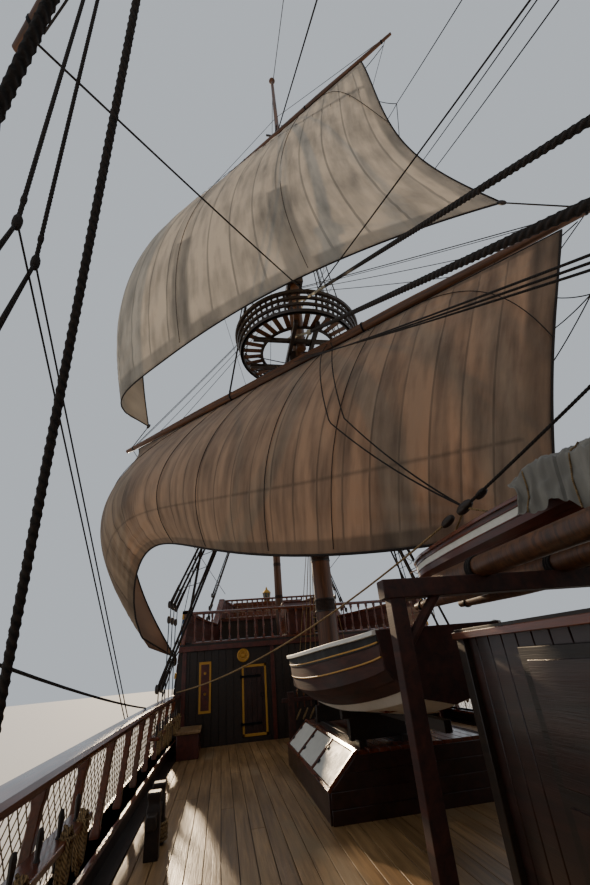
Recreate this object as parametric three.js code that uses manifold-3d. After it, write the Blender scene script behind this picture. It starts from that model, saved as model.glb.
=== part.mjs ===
// Three-masted square-rigged tall ship with a round basket top, braced up on the port tack.
// Millimetres, +X forward, +Y to port, +Z up. The origin is on the centreline at the waterline amidships.
import * as THREE from 'three';
import { mergeVertices } from 'three/addons/utils/BufferGeometryUtils.js';
import Module from 'manifold-3d';

const wasm = await Module();
wasm.setup();

// Driving dimensions
const GAP = 0.3;
const WAIST = 1300;
const COAMING = 270;
const RAIL_TOP = 2450;
const CASTLE_BREAK = -3300;
const QUARTERDECK = 3550;
const QUARTERDECK_RISE = 300;
const POOP_BREAK = -10900;
const POOP_HEIGHT = 1050;
const FORE_BREAK = 9900;
const FORECASTLE = 3050;
const FORECASTLE_RISE = 200;
const BULWARK = 820;
const STERN = -13400;
const STEM = 14200;
const BRACE = -Math.PI / 4;
const CLOTH = 20;

const MAIN = { x: -1200, deck: WAIST };
const FORE = { x: 10500, deck: FORECASTLE + 40.3 };
const MIZZEN = { x: -9500, deck: QUARTERDECK };

// Hull sections: place along the ship, widest half-breadth, the level of it, bottom of the planking,
// fullness of the bottom (1 is straight, 2 is round), and the lean of the side inwards per millimetre
const STATIONS = [
  { x: -13400, wide: 2300, level: 1700, bottom: 650, full: 1.5, lean: 0.12 },
  { x: -12800, wide: 2480, level: 1500, bottom: -700, full: 0.9, lean: 0.12 },
  { x: -11800, wide: 2700, level: 1300, bottom: -2300, full: 0.66, lean: 0.11 },
  { x: -10000, wide: 3050, level: 1100, bottom: -2700, full: 0.95, lean: 0.1 },
  { x: -7500, wide: 3400, level: 850, bottom: -2850, full: 1.5, lean: 0.1 },
  { x: -4500, wide: 3660, level: 650, bottom: -2900, full: 2.1, lean: 0.1 },
  { x: -1000, wide: 3780, level: 550, bottom: -2900, full: 2.6, lean: 0.09 },
  { x: 3000, wide: 3800, level: 550, bottom: -2900, full: 2.6, lean: 0.09 },
  { x: 6500, wide: 3780, level: 600, bottom: -2900, full: 2.3, lean: 0.09 },
  { x: 9000, wide: 3680, level: 700, bottom: -2850, full: 1.9, lean: 0.06 },
  { x: 11000, wide: 3340, level: 850, bottom: -2600, full: 1.5, lean: 0.02 },
  { x: 12400, wide: 2680, level: 1000, bottom: -1900, full: 1.3, lean: -0.02 },
  { x: 13400, wide: 1780, level: 1150, bottom: -800, full: 1.3, lean: -0.04 },
  { x: 13950, wide: 960, level: 1250, bottom: 300, full: 1.5, lean: -0.03 },
  { x: 14200, wide: 330, level: 1290, bottom: 900, full: 2, lean: 0 },
];

// Colours of the materials
const paint = (name, colour, roughness = 0.7, metalness = 0) =>
  Object.assign(new THREE.MeshStandardMaterial({ color: colour, roughness, metalness }), { name });
const TIMBER = paint('tarred timber', 0x3a2a1c);
const SPAR = paint('oiled spar', 0x5a3a20, 0.55);
const RAILWOOD = paint('varnished rail', 0x6b3b1f, 0.45);
const PANEL = paint('painted panel', 0xe6e2d6);
const OCHRE = paint('ochre paint', 0xb98a2e);
const ROPE = paint('tarred rope', 0x2a211a, 0.95);
const FORGED = paint('forged iron', 0x26262a, 0.5, 0.8);
const CANVAS = paint('sail canvas', 0xcdb894, 0.9);

const group = new THREE.Group();
const vec = (x, y, z) => new THREE.Vector3(x, y, z);
const POST = { low: vec(-12750, 0, -3150), high: vec(-13700, 0, 1290) };
const mix = (a, b, t) => a + (b - a) * t;

// Turns a closed geometry into a solid that can be joined and cut
function solid(geometry) {
  const bare = geometry.clone();
  bare.deleteAttribute('normal');
  bare.deleteAttribute('uv');
  const merged = mergeVertices(bare, 0.01);
  return new wasm.Manifold(new wasm.Mesh({
    numProp: 3,
    vertProperties: new Float32Array(merged.attributes.position.array),
    triVerts: new Uint32Array(merged.index.array),
  }));
}

function join(...pieces) {
  return pieces.flat(Infinity).map((piece) => (piece.isBufferGeometry ? solid(piece) : piece)).reduce((a,
    b) => a.add(b));
}

function cut(body, ...tools) {
  return tools.flat(Infinity).reduce((a, b) => a.subtract(join(b)), join(body));
}

function geometryOf(body) {
  if (body.isBufferGeometry) return body;
  const raw = body.getMesh();
  const geometry = new THREE.BufferGeometry();
  geometry.setAttribute('position', new THREE.BufferAttribute(new Float32Array(raw.vertProperties), 3));
  geometry.setIndex(new THREE.BufferAttribute(new Uint32Array(raw.triVerts), 1));
  return geometry;
}

function add(name, body, material, parent = group) {
  const mesh = new THREE.Mesh(geometryOf(body), material);
  mesh.name = name;
  parent.add(mesh);
  return mesh;
}

// Simple shapes
function box(x0, x1, y0, y1, z0, z1) {
  const shape = new THREE.BoxGeometry(x1 - x0, y1 - y0, z1 - z0);
  return shape.translate((x0 + x1) / 2, (y0 + y1) / 2, (z0 + z1) / 2);
}

function bar(a, b, ra, rb = ra, sides = 4) {
  const along = new THREE.Vector3().subVectors(b, a);
  const shape = new THREE.CylinderGeometry(rb, ra, along.length(), sides);
  shape.applyQuaternion(new THREE.Quaternion().setFromUnitVectors(vec(0, 1, 0), along.clone().normalize()));
  return shape.translate(...a.clone().add(b).multiplyScalar(0.5).toArray());
}

// A round body about the vertical from [radius, height] pairs that start and end on the axis
function turned(profile, sides = 10) {
  return new THREE.LatheGeometry(profile.map(([r, z]) => new THREE.Vector2(r, z)),
    sides).rotateX(Math.PI / 2);
}

function ring(inner, outer, z0, z1, sides = 12) {
  return turned([[inner, z0], [outer, z0], [outer, z1], [inner, z1], [inner, z0]], sides);
}

// An outline in the XZ plane, given a thickness across the ship
function slab(outline, y0, y1) {
  const shape = new THREE.Shape(outline.map(([x, z]) => new THREE.Vector2(x, z)));
  const plate = new THREE.ExtrudeGeometry(shape, { depth: y1 - y0, bevelEnabled: false });
  return plate.rotateX(Math.PI / 2).translate(0, y1, 0);
}

// A closed body through rings of points that all hold the same number, its ends capped across X
function loft(rings, cap = (p) => new THREE.Vector2(p.y, p.z)) {
  const count = rings[0].length;
  const positions = rings.flat().flatMap((p) => [p.x, p.y, p.z]);
  const index = [];
  for (let i = 0; i < rings.length - 1; i += 1) {
    for (let j = 0; j < count; j += 1) {
      const a = i * count + j;
      const b = i * count + ((j + 1) % count);
      index.push(a, b, a + count, b, b + count, a + count);
    }
  }
  const last = (rings.length - 1) * count;
  for (const [start, turn] of [[0, false], [last, true]]) {
    const outline = rings[start / count].map(cap);
    const flip = THREE.ShapeUtils.isClockWise(outline) !== turn;
    for (const [a, b, c] of THREE.ShapeUtils.triangulateShape(outline, [])) {
      index.push(start + a, start + (flip ? b : c), start + (flip ? c : b));
    }
  }
  return closed(positions, index);
}

// Gives a list of triangles its geometry, with the faces pointing out
function closed(positions, index) {
  let volume = 0;
  const p = (i) => vec(positions[3 * i], positions[3 * i + 1], positions[3 * i + 2]);
  for (let i = 0; i < index.length; i += 3) {
    volume += p(index[i]).dot(p(index[i + 1]).cross(p(index[i + 2])));
  }
  if (volume < 0) {
    for (let i = 0; i < index.length; i += 3) [index[i], index[i + 1]] = [index[i + 1], index[i]];
  }
  const geometry = new THREE.BufferGeometry();
  geometry.setAttribute('position', new THREE.Float32BufferAttribute(positions, 3));
  geometry.setIndex(index);
  return geometry;
}

// The value of one column of the hull sections at any place along the ship, on a smooth curve
function station(x, column) {
  const last = STATIONS.length - 2;
  let i = STATIONS.findIndex((row, k) => k > 0 && x <= row.x) - 1;
  if (i < 0) i = x < STATIONS[0].x ? 0 : last;
  const slope = (k) => {
    const [a, b] = [STATIONS[Math.max(k - 1, 0)], STATIONS[Math.min(k + 1, last + 1)]];
    return (b[column] - a[column]) / (b.x - a.x);
  };
  const [from, to] = [STATIONS[i], STATIONS[i + 1]];
  const span = to.x - from.x;
  const t = Math.min(Math.max((x - from.x) / span, 0), 1);
  const [t2, t3] = [t * t, t * t * t];
  return (2 * t3 - 3 * t2 + 1) * from[column] + (t3 - 2 * t2 + t) * span * slope(i)
    + (3 * t2 - 2 * t3) * to[column] + (t3 - t2) * span * slope(i + 1);
}

// Half-breadth of the ship's side at a place and level
function side(x, z) {
  const wide = station(x, 'wide');
  const level = station(x, 'level');
  if (z >= level) return wide - station(x, 'lean') * (z - level);
  const bottom = station(x, 'bottom');
  const rise = Math.min(Math.max((z - bottom) / (level - bottom), 0), 1);
  const full = station(x, 'full');
  return wide * Math.pow(1 - Math.pow(1 - rise, full), 1 / full);
}

// The stern rakes aft and the stem rakes forward with height
const STERN_RAKE = 0.2;
const BOW_RAKE = 0.12;
const ease = (t) => Math.min(Math.max(t, 0), 1) ** 2;
function place(x, y, z) {
  const rake = BOW_RAKE * ease((x - 11000) / 3200) - STERN_RAKE * ease((-10000 - x) / 3400);
  return vec(x + rake * (z - WAIST), y, z);
}

const steps = (from, to, count) => Array.from({ length: count + 1 }, (_, i) => mix(from, to, i / count));
const quarterdeck = (x) => QUARTERDECK + QUARTERDECK_RISE * (CASTLE_BREAK - x) / (CASTLE_BREAK - STERN);
const forecastle = (x) => FORECASTLE + FORECASTLE_RISE * (x - FORE_BREAK) / (STEM - FORE_BREAK);
const poop = (x) => quarterdeck(x) + POOP_HEIGHT;
const wallTop = (x) => quarterdeck(x) + BULWARK + Math.min(Math.max((-10000 - x) / (-10000 - POOP_BREAK),
  0), 1)
  * POOP_HEIGHT;

// The part of the ship between two levels, full width, from one place to another
function decked(xs, low, high, rows = 2, inset = 0) {
  return loft(xs.map((x) => {
    const half = steps(low(x), high(x), rows).map((z) => [Math.max(side(x, z) - inset, 20), z]);
    const port = half.map(([y, z]) => place(x, y, z));
    const starboard = half.slice().reverse().map(([y, z]) => place(x, -y, z));
    return [...port, ...starboard];
  }));
}

// A plank or wall that follows the ship's side
function strake(xs, low, high, inner, outer, hand) {
  return loft(xs.map((x) => [
    place(x, hand * (side(x, low(x)) + outer), low(x)),
    place(x, hand * (side(x, high(x)) + outer), high(x)),
    place(x, hand * (side(x, high(x)) - inner), high(x)),
    place(x, hand * (side(x, low(x)) - inner), low(x)),
  ]));
}

// A planked wall that follows the ship's side, with a wider cap along its top
const WALL = { thick: 110, cap: 75, out: 55, in: 60 };
function bulwark(xs, low, high, hand) {
  return loft(xs.map((x) => {
    const rim = high(x) - WALL.cap;
    const edge = (z, out) => place(x, hand * (side(x, z) + out), z);
    return [edge(low(x), 0), edge(rim, 0), edge(rim, WALL.out), edge(high(x), WALL.out),
      edge(high(x), -WALL.thick - WALL.in), edge(rim, -WALL.thick - WALL.in), edge(rim, -WALL.thick),
      edge(low(x), -WALL.thick)];
  }));
}

const HULL_STEPS = [...steps(STERN, -10000, 5), -8300, -5500, -2000, 3000, 6500, 9000,
  ...steps(10500, 13400, 4), 13800,
  14050, STEM];

function hull() {
  const rows = 8;
  const body = loft(HULL_STEPS.map((x) => {
    const bottom = station(x, 'bottom');
    const half = steps(0, 1, rows).map((f) => mix(bottom, WAIST,
      f ** 1.5)).map((z) => [Math.max(side(x, z), 130), z]);
    return [...half.map(([y, z]) => place(x, y, z)), ...half.reverse().map(([y, z]) => place(x, -y, z))];
  }));
  const keel = slab([[-12700, -3150], [10300, -3150], [11600, -2900], [12900, -2100], [13900, -850],
    [14500, 500],
    [15500, 1350], [17300, 2050], [18700, 2800], [19250, 3500], [18900, 3560], [17600, 2750], [15600, 2150],
    [14330, 2150], [14200, 1200], [13000, -600], [11000, -2300], [0, -2700], [-11000, -2300], [-12400, -900],
    [-13250, 600], [-13250, 1290], [POST.high.x, POST.high.z], [POST.low.x, -3150]], -150, 150);
  add('hull', join(body, keel), TIMBER);
}

const WAIST_STEPS = steps(CASTLE_BREAK + 1, FORE_BREAK - 1, 10);

// Covering board, stanchions and cap rail along one side of the open waist
function waistRail(name, hand) {
  const xs = WAIST_STEPS;
  const low = strake(xs, () => WAIST + GAP, () => WAIST + COAMING, 230, 40, hand);
  const cap = strake(xs, () => RAIL_TOP - 75, () => RAIL_TOP, 190, 50, hand);
  const posts = steps(CASTLE_BREAK + 500, FORE_BREAK - 500, 12).map((x) => {
    const foot = side(x, WAIST + COAMING) - 90;
    const head = side(x, RAIL_TOP) - 90;
    return bar(vec(x, hand * foot, WAIST + COAMING - 60), vec(x, hand * head, RAIL_TOP - 30), 42, 36);
  });
  add(name, join(low, cap, posts), RAILWOOD);
}

const DOOR = { width: 640, height: 1560, thick: 50, y: 1560, recess: 620 };
const POOP_STEPS = [STERN, -12700, -11900, POOP_BREAK];
const QUARTER_STEPS = [POOP_BREAK, -10000, -8600, -6800, -5000, CASTLE_BREAK];
const AFT_STEPS = [...POOP_STEPS, ...QUARTER_STEPS.slice(1)];
const FORE_STEPS = [FORE_BREAK, 10800, 11600, 12300, 12900, 13400, 13800, 14050, STEM];

// The raised after part of the ship: quarterdeck on cabins, with two door recesses in its bulkhead
function aftercastle() {
  const body = decked(AFT_STEPS, () => WAIST + GAP, quarterdeck, 3);
  const recesses = [1, -1].map((hand) => {
    const [y0, y1] = [DOOR.y - DOOR.width / 2, DOOR.y + DOOR.width / 2].map((y) => hand * y).sort((a,
      b) => a - b);
    return box(CASTLE_BREAK - DOOR.recess, CASTLE_BREAK + 10, y0, y1, WAIST + 120, WAIST + 120 + DOOR.height);
  });
  const beam = box(CASTLE_BREAK - 160, CASTLE_BREAK + 90, -3150, 3150, quarterdeck(CASTLE_BREAK) - 170,
    quarterdeck(CASTLE_BREAK) - 10);
  add('aftercastle', join(cut(body, recesses), beam), TIMBER);
  add('poop', decked([...POOP_STEPS.slice(0, -1), POOP_BREAK - GAP], (x) => quarterdeck(x) + GAP, poop),
    TIMBER);
}

// A cabin door hung at its outboard edge, with its hinge straps and knuckles
function door(name, hand) {
  const half = DOOR.width / 2 - 6;
  const leaf = new THREE.Group();
  leaf.position.set(CASTLE_BREAK + 34, hand * (DOOR.y + half + 20), WAIST + 128);
  group.add(leaf);
  const inner = -hand * (2 * half + 20);
  const [y0, y1] = [inner, -hand * 22].sort((a, b) => a - b);
  const panel = box(-30 - DOOR.thick, -30, y0, y1, 0, DOOR.height - 16);
  const straps = [260, 1280].map((z) => {
    const [s0, s1] = [-hand * 500, 0].sort((a, b) => a - b);
    return [box(-34 + GAP, -14, s0, s1, z - 30, z + 30), bar(vec(0, 0, z - 45), vec(0, 0, z + 45), 26, 26,
      8)];
  });
  add(name, join(panel, straps), OCHRE, leaf);
}

// Bulwarks around the quarterdeck and poop, sweeping up at the poop's break and closed by the taffrail
function aftBulwarks() {
  const walls = [1, -1].flatMap((hand) => [
    bulwark(QUARTER_STEPS, (x) => quarterdeck(x) + GAP, wallTop, hand),
    bulwark([...POOP_STEPS.slice(0, -1), POOP_BREAK + 40], (x) => poop(x) + GAP + (x > POOP_BREAK ? 60 : 0),
      (x) => poop(x) + BULWARK, hand),
  ]);
  const top = poop(STERN) + BULWARK;
  const edge = (z) => place(STERN, side(STERN, z) - 40, z);
  const panel = loft([1, -1].map((hand) => [[poop(STERN) + GAP, 0], [top, 0], [top, 110],
    [poop(STERN) + GAP, 110]]
    .map(([z, t]) => vec(edge(z).x + t, hand * edge(z).y, z))), (p) => new THREE.Vector2(p.x, p.z));
  const crown = slab([[edge(top).x - 30, top - 20], [edge(top).x + 150, top - 20],
    [edge(top).x + 150, top + 130],
    [edge(top).x - 30, top + 130]], -edge(top).y, edge(top).y);
  add('aft_bulwarks', join(walls, panel, crown), RAILWOOD);
}

function forecastleBlock() {
  const xs = FORE_STEPS;
  add('forecastle', decked(xs, () => WAIST + GAP, forecastle, 3), TIMBER);
  const walls = [1, -1].map((hand) => bulwark(xs, (x) => forecastle(x) + GAP,
    (x) => forecastle(x) + BULWARK, hand));
  const nose = place(STEM, 0, forecastle(STEM));
  const half = side(STEM, FORECASTLE) + 30;
  const stem = box(nose.x - 90, nose.x + 190, -half, half, nose.z + 15, nose.z + BULWARK + 60);
  const cathead = [1, -1].map((hand) => box(12350, 12600, ...[hand * 1900, hand * 3900].sort((a, b) => a - b),
    forecastle(12500) + BULWARK - 200, forecastle(12500) + BULWARK + 60));
  add('forecastle_rail', join(walls, stem, cathead), RAILWOOD);
}

// A rail with stanchions across the ship, just inside the edge of the higher deck. A gate is a gap in its cap
const FENCE = { high: 720, post: 30, sill: 60, cap: 75, apart: 450 };
function breakRail(name, x, deck, gate = 0) {
  const reach = side(x, deck(x) + FENCE.high) - WALL.thick - WALL.in - 40;
  const corner = (at, lift) => [place(at, 0, deck(at) + lift).x, deck(at) + lift];
  const across = (wide, low, high, from, to) => slab([corner(x - wide, low), corner(x + wide, low),
    corner(x + wide, high), corner(x - wide, high)], from, to);
  const sill = across(FENCE.sill, GAP, 50, -reach, reach);
  const runs = gate ? [[-reach, -gate], [gate, reach]] : [[-reach, reach]];
  const caps = runs.map(([from, to]) => across(FENCE.cap, FENCE.high, FENCE.high + 70, from, to));
  const seat = corner(x, 0)[0];
  const posts = runs.flatMap(([from, to]) => steps(from + 60, to - 60, Math.round((to - from) / FENCE.apart)))
    .map((y) => box(seat - FENCE.post, seat + FENCE.post, y - FENCE.post, y + FENCE.post, deck(x) + 30,
      deck(x) + FENCE.high + 10));
  add(name, join(sill, caps, posts), RAILWOOD);
}

// A bower anchor hung by its ring under the end of a cathead
function anchor(name, hand) {
  const [x, y] = [12475, hand * 3750];
  const top = forecastle(12500) + BULWARK - 200 - GAP;
  const crown = top - 2300;
  const ring = new THREE.TorusGeometry(110, 22, 6, 12).rotateX(Math.PI / 2).translate(x, y, top - 132);
  const shank = bar(vec(x, y, top - 215), vec(x, y, crown), 50, 80);
  const stock = box(x - 1000, x + 1000, y - 75, y + 75, top - 500, top - 350);
  const arms = [1, -1].map((way) => bar(vec(x, y - way * 20, crown), vec(x, y + way * 620, crown + 430), 80, 45));
  const palms = [1, -1].map((way) => box(-160, 160, -25, 25, -210, 210).rotateX(-way * Math.PI / 5)
    .translate(x, y + way * 560, crown + 480));
  add(name, join(ring, shank, stock, arms, palms), FORGED);
}

// Platform and rails of the head, between the stem and the end of the knee
function beakhead() {
  const floor = 2250;
  const plan = [[14560, 640], [16500, 420], [18600, 150]];
  const platform = loft(plan.map(([x, half]) => [vec(x, half, floor), vec(x, half, floor + 70),
    vec(x, -half, floor + 70),
    vec(x, -half, floor)]));
  const rails = [1, -1].flatMap((hand) => {
    const routes = [
      [[14620, 620, 2290], [16300, 520, 2290], [18500, 150, 2290]],
      [[14640, 980, 3350], [15600, 820, 2880], [17000, 480, 2850], [18600, 120, 3400]],
    ];
    const runs = routes.map((route) => route.slice(1).map((to, i) => bar(
      vec(route[i][0], hand * route[i][1], route[i][2]), vec(to[0], hand * to[1], to[2]), 62, 56)));
    const timbers = [[15600, 620, 820, 2880], [17000, 380, 480, 2850]].map(([x, low, high, z]) =>
      bar(vec(x, hand * (low - 80), 2290), vec(x, hand * high, z), 50, 50));
    const knees = routes[1].slice(1, 3).map(([x, y, z]) => new THREE.SphereGeometry(66, 5, 3).translate(x,
      hand * y, z));
    return [runs, timbers, knees];
  });
  const end = box(18400, 18640, -150, 150, floor, 3450);
  const lift = 620;
  const body = join(platform, rails, end).translate([0, 0, lift]);
  const post = box(14700, 14800, -120, 120, 2160, floor + lift + 20);
  const shelf = slab([[17300, 2060 + 180], [17500, 2900], [18640, floor + lift + 30], [18640, 2880]], -120,
    120);
  add('beakhead', cut(join(body, post, shelf), slab([[14200, 1000], [15500, 1350], [17300, 2050],
    [18700, 2800],
    [19300, 3500], [18900, 3560 + GAP], [17600, 2750 + GAP], [15600, 2150 + GAP], [14200, 2150 + GAP]],
      -151, 151)),
  OCHRE);
}

const SPRIT = { heel: vec(12700, 0, 3620), end: vec(24600, 0, 9150), radius: 210, tip: 95 };
const spritAt = (x) => SPRIT.heel.clone().lerp(SPRIT.end, (x - SPRIT.heel.x) / (SPRIT.end.x - SPRIT.heel.x));

function bowsprit() {
  const spar = bar(SPRIT.heel, SPRIT.end, SPRIT.radius, SPRIT.tip, 12);
  const bitts = box(12550, 13000, -330, 330, forecastle(12925) + GAP, 3900);
  const gammon = spritAt(17600);
  const lashing = new THREE.TorusGeometry(190, 45, 5, 12).rotateY(Math.PI / 2).translate(...gammon.toArray());
  add('bowsprit', join(spar, bitts, lashing), SPAR);
}

// Masts: radii at the deck, at the top and at the masthead; the topmast stands ahead in the cap
const RIG = {
  main: { at: MAIN, floor: 11560, rim: 12250, head: 14300, foot: 235, neck: 195, topHead: 28400,
    topHounds: 23450 },
  fore: { at: FORE, floor: 10650, rim: 11380, head: 13100, foot: 205, neck: 175, topHead: 23600,
    topHounds: 19600 },
};
const HEADING = { taper: 35, topRoot: 300, topNeck: 0.72 };
const TREE = { half: 1480, deep: 170, wide: 110, y: 325 };
const TOPMAST = { ahead: 430, radius: 150, tip: 70 };

// Radius of a lower mast and of a topmast at a level
const mastAt = ({ at, floor, head, foot, neck }, z) => (z < floor
  ? mix(foot, neck, (z - at.deck - 200) / (floor - at.deck - 200))
  : mix(neck, neck - HEADING.taper, (z - floor) / (head - floor)));
const topmastAt = ({ head, topHounds }, z) => TOPMAST.radius
  * mix(1, HEADING.topNeck, (z - head - HEADING.topRoot) / (topHounds - head - HEADING.topRoot));

function lowerMast(name, rig) {
  const { at, floor, head, foot, neck } = rig;
  const pole = turned([[0, at.deck + GAP], [foot + 60, at.deck + GAP], [foot + 60, at.deck + 130],
    [foot, at.deck + 200],
    [neck, floor], [neck - HEADING.taper, head], [0, head]], 12).translate(at.x, 0, 0);
  const trestles = [1, -1].map((hand) => box(at.x - TREE.half * 0.75, at.x + TREE.half,
    hand * TREE.y - TREE.wide / 2,
    hand * TREE.y + TREE.wide / 2, floor - TREE.deep, floor));
  const cross = [-620, 650].map((x) => box(at.x + x - 60, at.x + x + 60, -TREE.half, TREE.half,
    floor - TREE.deep + 60,
    floor));
  const cheeks = [1, -1].map((hand) => box(at.x - 170, at.x + 170, hand > 0 ? neck - 60 : -TREE.y,
    hand > 0 ? TREE.y
    : 60 - neck, floor - TREE.deep, floor - 20));
  const cap = box(at.x - 260, at.x + TOPMAST.ahead + 270, -250, 250, head - 240, head);
  const hole = turned([[0, head - 400], [TOPMAST.radius + 12, head - 400], [TOPMAST.radius + 12, head + 100],
    [0, head + 100]], 12).translate(at.x + TOPMAST.ahead, 0, 0);
  add(name, cut(join(pole, trestles, cross, cheeks, cap), hole), SPAR);
}

function topmast(name, rig) {
  const { at, floor, head, topHead, topHounds } = rig;
  const x = at.x + TOPMAST.ahead;
  const pole = turned([[0, floor - TREE.deep], [TOPMAST.radius, floor - TREE.deep],
    [TOPMAST.radius, head + HEADING.topRoot],
    [TOPMAST.radius * HEADING.topNeck, topHounds], [TOPMAST.tip, topHead - 60], [150, topHead],
      [120, topHead + 90],
    [0, topHead + 110]], 12);
  const fid = box(-55, 55, -TREE.y - 40, TREE.y + 40, floor + GAP, floor + 110);
  const trees = [box(-420, 420, -150, -90, topHounds - 90, topHounds), box(-420, 420, 90, 150, topHounds - 90,
    topHounds), box(-60, 0, -520, 520, topHounds - 80, topHounds + 10),
      box(-180, 180, -150, 150, topHounds - 90,
    topHounds - 20)];
  const collar = ring(TOPMAST.radius - 20, TOPMAST.radius + 40, head + GAP, head + 70);
  add(name, join(pole, fid, trees, collar).translate([x, 0, 0]), SPAR);
}

const TOP = { floorIn: 1120, floorOut: 1820, rimOut: 1960, boards: 16, wall: 60, open: 0.72,
  openings: [[0.14, 0.5], [0.58, 0.91]] };

// Round top: a floor of planks and a flaring wall of upright boards, open between three rails
function basket(name, rig) {
  const size = rig === RIG.main ? 1 : 0.88;
  const inside = rig === RIG.main ? TOP.floorIn : 1010;
  const [low, high] = [rig.floor + GAP, rig.rim];
  const out = (z) => mix(TOP.floorOut, TOP.rimOut, (z - low) / (high - low)) * size;
  const tray = turned([[inside, low], [out(low), low], [out(high), high], [out(high) - TOP.wall, high],
    [out(low) - TOP.wall, low + 50], [inside, low + 50], [inside, low]], TOP.boards);
  const pitch = 2 * Math.PI / TOP.boards;
  const windows = Array.from({ length: TOP.boards }, (_, i) => TOP.openings.map(([from, to]) => {
    const [z0, z1] = [mix(low, high, from), mix(low, high, to)];
    const wide = out(low) * pitch * TOP.open;
    return box(out(low) - 300, out(high) + 300, -wide / 2, wide / 2, z0, z1).rotateZ(i * pitch);
  }));
  add(name, cut(tray, windows).translate([rig.at.x, 0, 0]), SPAR);
}

const MIZZEN_HOUNDS = 12700;
function mizzenMast() {
  const pole = turned([[0, GAP], [215, GAP], [215, 120], [165, 180], [150, 9000], [90, 12300], [70, 13700],
    [130, 13760], [110, 13850], [0, 13880]], 12).translate(MIZZEN.x, 0, quarterdeck(MIZZEN.x - 215));
  const hounds = box(MIZZEN.x - 260, MIZZEN.x + 260, -260, 260, MIZZEN_HOUNDS, MIZZEN_HOUNDS + 130);
  add('mizzen_mast', join(pole, hounds), SPAR);
}

// Standing rigging of one mast: collar under the top, a fan of shrouds a side, deadeyes and channels
// first: how far abaft the mast the foremost shroud lands; pitch: the distance to the next
const SHROUDS = [
  { name: 'fore_shrouds', x: FORE.x, collar: 10375, mast: mastAt(RIG.fore, 10265), first: 500, pitch: 560,
    count: 4,
    foot: () => forecastle(FORE.x) + BULWARK + 160, board: 1440, rope: 27 },
  { name: 'main_shrouds', x: MAIN.x, collar: 11275, mast: mastAt(RIG.main, 11165), first: 1000, pitch: 600,
    count: 5,
    foot: (at) => (at > CASTLE_BREAK + 200 ? RAIL_TOP + 190 : quarterdeck(at) + BULWARK + 200), board: 1440,
      rope: 30 },
  { name: 'mizzen_shrouds', x: MIZZEN.x, collar: MIZZEN_HOUNDS, mast: 151.5, first: 420, pitch: 480, count: 3,
    foot: (at) => wallTop(at) + 200, board: 3350, rope: 22 },
];
const CHANNEL = { wide: 220, thick: 90, eye: 105 };

function shrouds({ name, x, collar, mast, first, pitch, count, foot, board, rope }) {
  const grip = ring(mast + GAP, mast + 75, collar - 110, collar - GAP).translate(x, 0, 0);
  const places = Array.from({ length: count }, (_, i) => x - first - i * pitch);
  const halves = [1, -1].map((hand) => {
    const reach = (at) => side(at, board) + CHANNEL.wide - 90;
    const lines = places.map((at, i) => {
      const turn = (0.45 + 0.35 * i / count) * Math.PI;
      const start = vec(x + (mast + 60) * Math.cos(turn), hand * (mast + 60) * Math.sin(turn), collar - 60);
      const end = vec(at, hand * reach(at), foot(at));
      const plate = vec(at, hand * reach(at), board + 40);
      const eyes = [end, end.clone().add(vec(0, 0, -380))].map((p) => bar(p.clone().add(vec(0, -45, 0)),
        p.clone().add(vec(0, 45, 0)), CHANNEL.eye, CHANNEL.eye, 6));
      return [bar(start, end, rope), bar(end, plate, rope * 0.8), eyes];
    });
    const channel = strake(steps(places.at(-1) - 350, places[0] + 350, 3), () => board,
      () => board + CHANNEL.thick, 60,
      CHANNEL.wide, hand);
    return [lines, cut(channel, shipSides())];
  });
  add(name, join(grip, halves), ROPE);
}

// The ship's sides, a little fuller, to fit the channels against them
function shipSides() {
  const aft = decked(AFT_STEPS, () => WAIST + GAP, quarterdeck, 3, -GAP);
  const fore = decked(FORE_STEPS, () => WAIST + GAP, forecastle, 3, -GAP);
  const boards = [1, -1].map((hand) => strake(WAIST_STEPS, () => WAIST, () => WAIST + COAMING, 400,
    40 + GAP, hand));
  return [aft, fore, ...boards];
}

// Topmast shrouds from the hounds of the topmast down to the rim of the top
function topmastShrouds(name, rig) {
  const size = rig === RIG.main ? 1 : 0.88;
  const x = rig.at.x + TOPMAST.ahead;
  const hold = rig.topHounds - 91;
  const neck = topmastAt(rig, hold - 110) + GAP;
  const grip = ring(neck, neck + 64, hold - 110, hold).translate(x, 0, 0);
  const lines = [1, -1].flatMap((hand) => [95, 110, 125].map((degrees) => {
    const turn = degrees * Math.PI / 180;
    const r = (TOP.rimOut + 10) * size - 40;
    const foot = vec(rig.at.x + r * Math.cos(turn), hand * r * Math.sin(turn), rig.rim + 130);
    const head = vec(x + 150 * Math.cos(turn), hand * 150 * Math.sin(turn), hold - 60);
    const seat = vec(foot.x, foot.y, rig.rim + GAP);
    return [bar(head, foot, 20), bar(foot, seat, 34), box(-70, 70, -70, 70, -60,
      60).translate(...foot.toArray())];
  }));
  add(name, join(grip, lines), ROPE);
}

// Stays: two legs around the masthead that meet in the mouse, then one rope to the foot
const STAYS = [
  { name: 'main_stay', rig: RIG.main, z: 12225, rope: 55, split: 2000, to: [10140, 0, 3560], foot: 'block' },
  { name: 'main_preventer_stay', rig: RIG.main, z: 13650, rope: 45, split: 2000, to: [10160, 0, 4050],
    foot: 'block' },
  { name: 'fore_stay', rig: RIG.fore, z: 12650, rope: 50, split: 1900, to: [19400, 0, 0], foot: 'sprit' },
];

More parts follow.
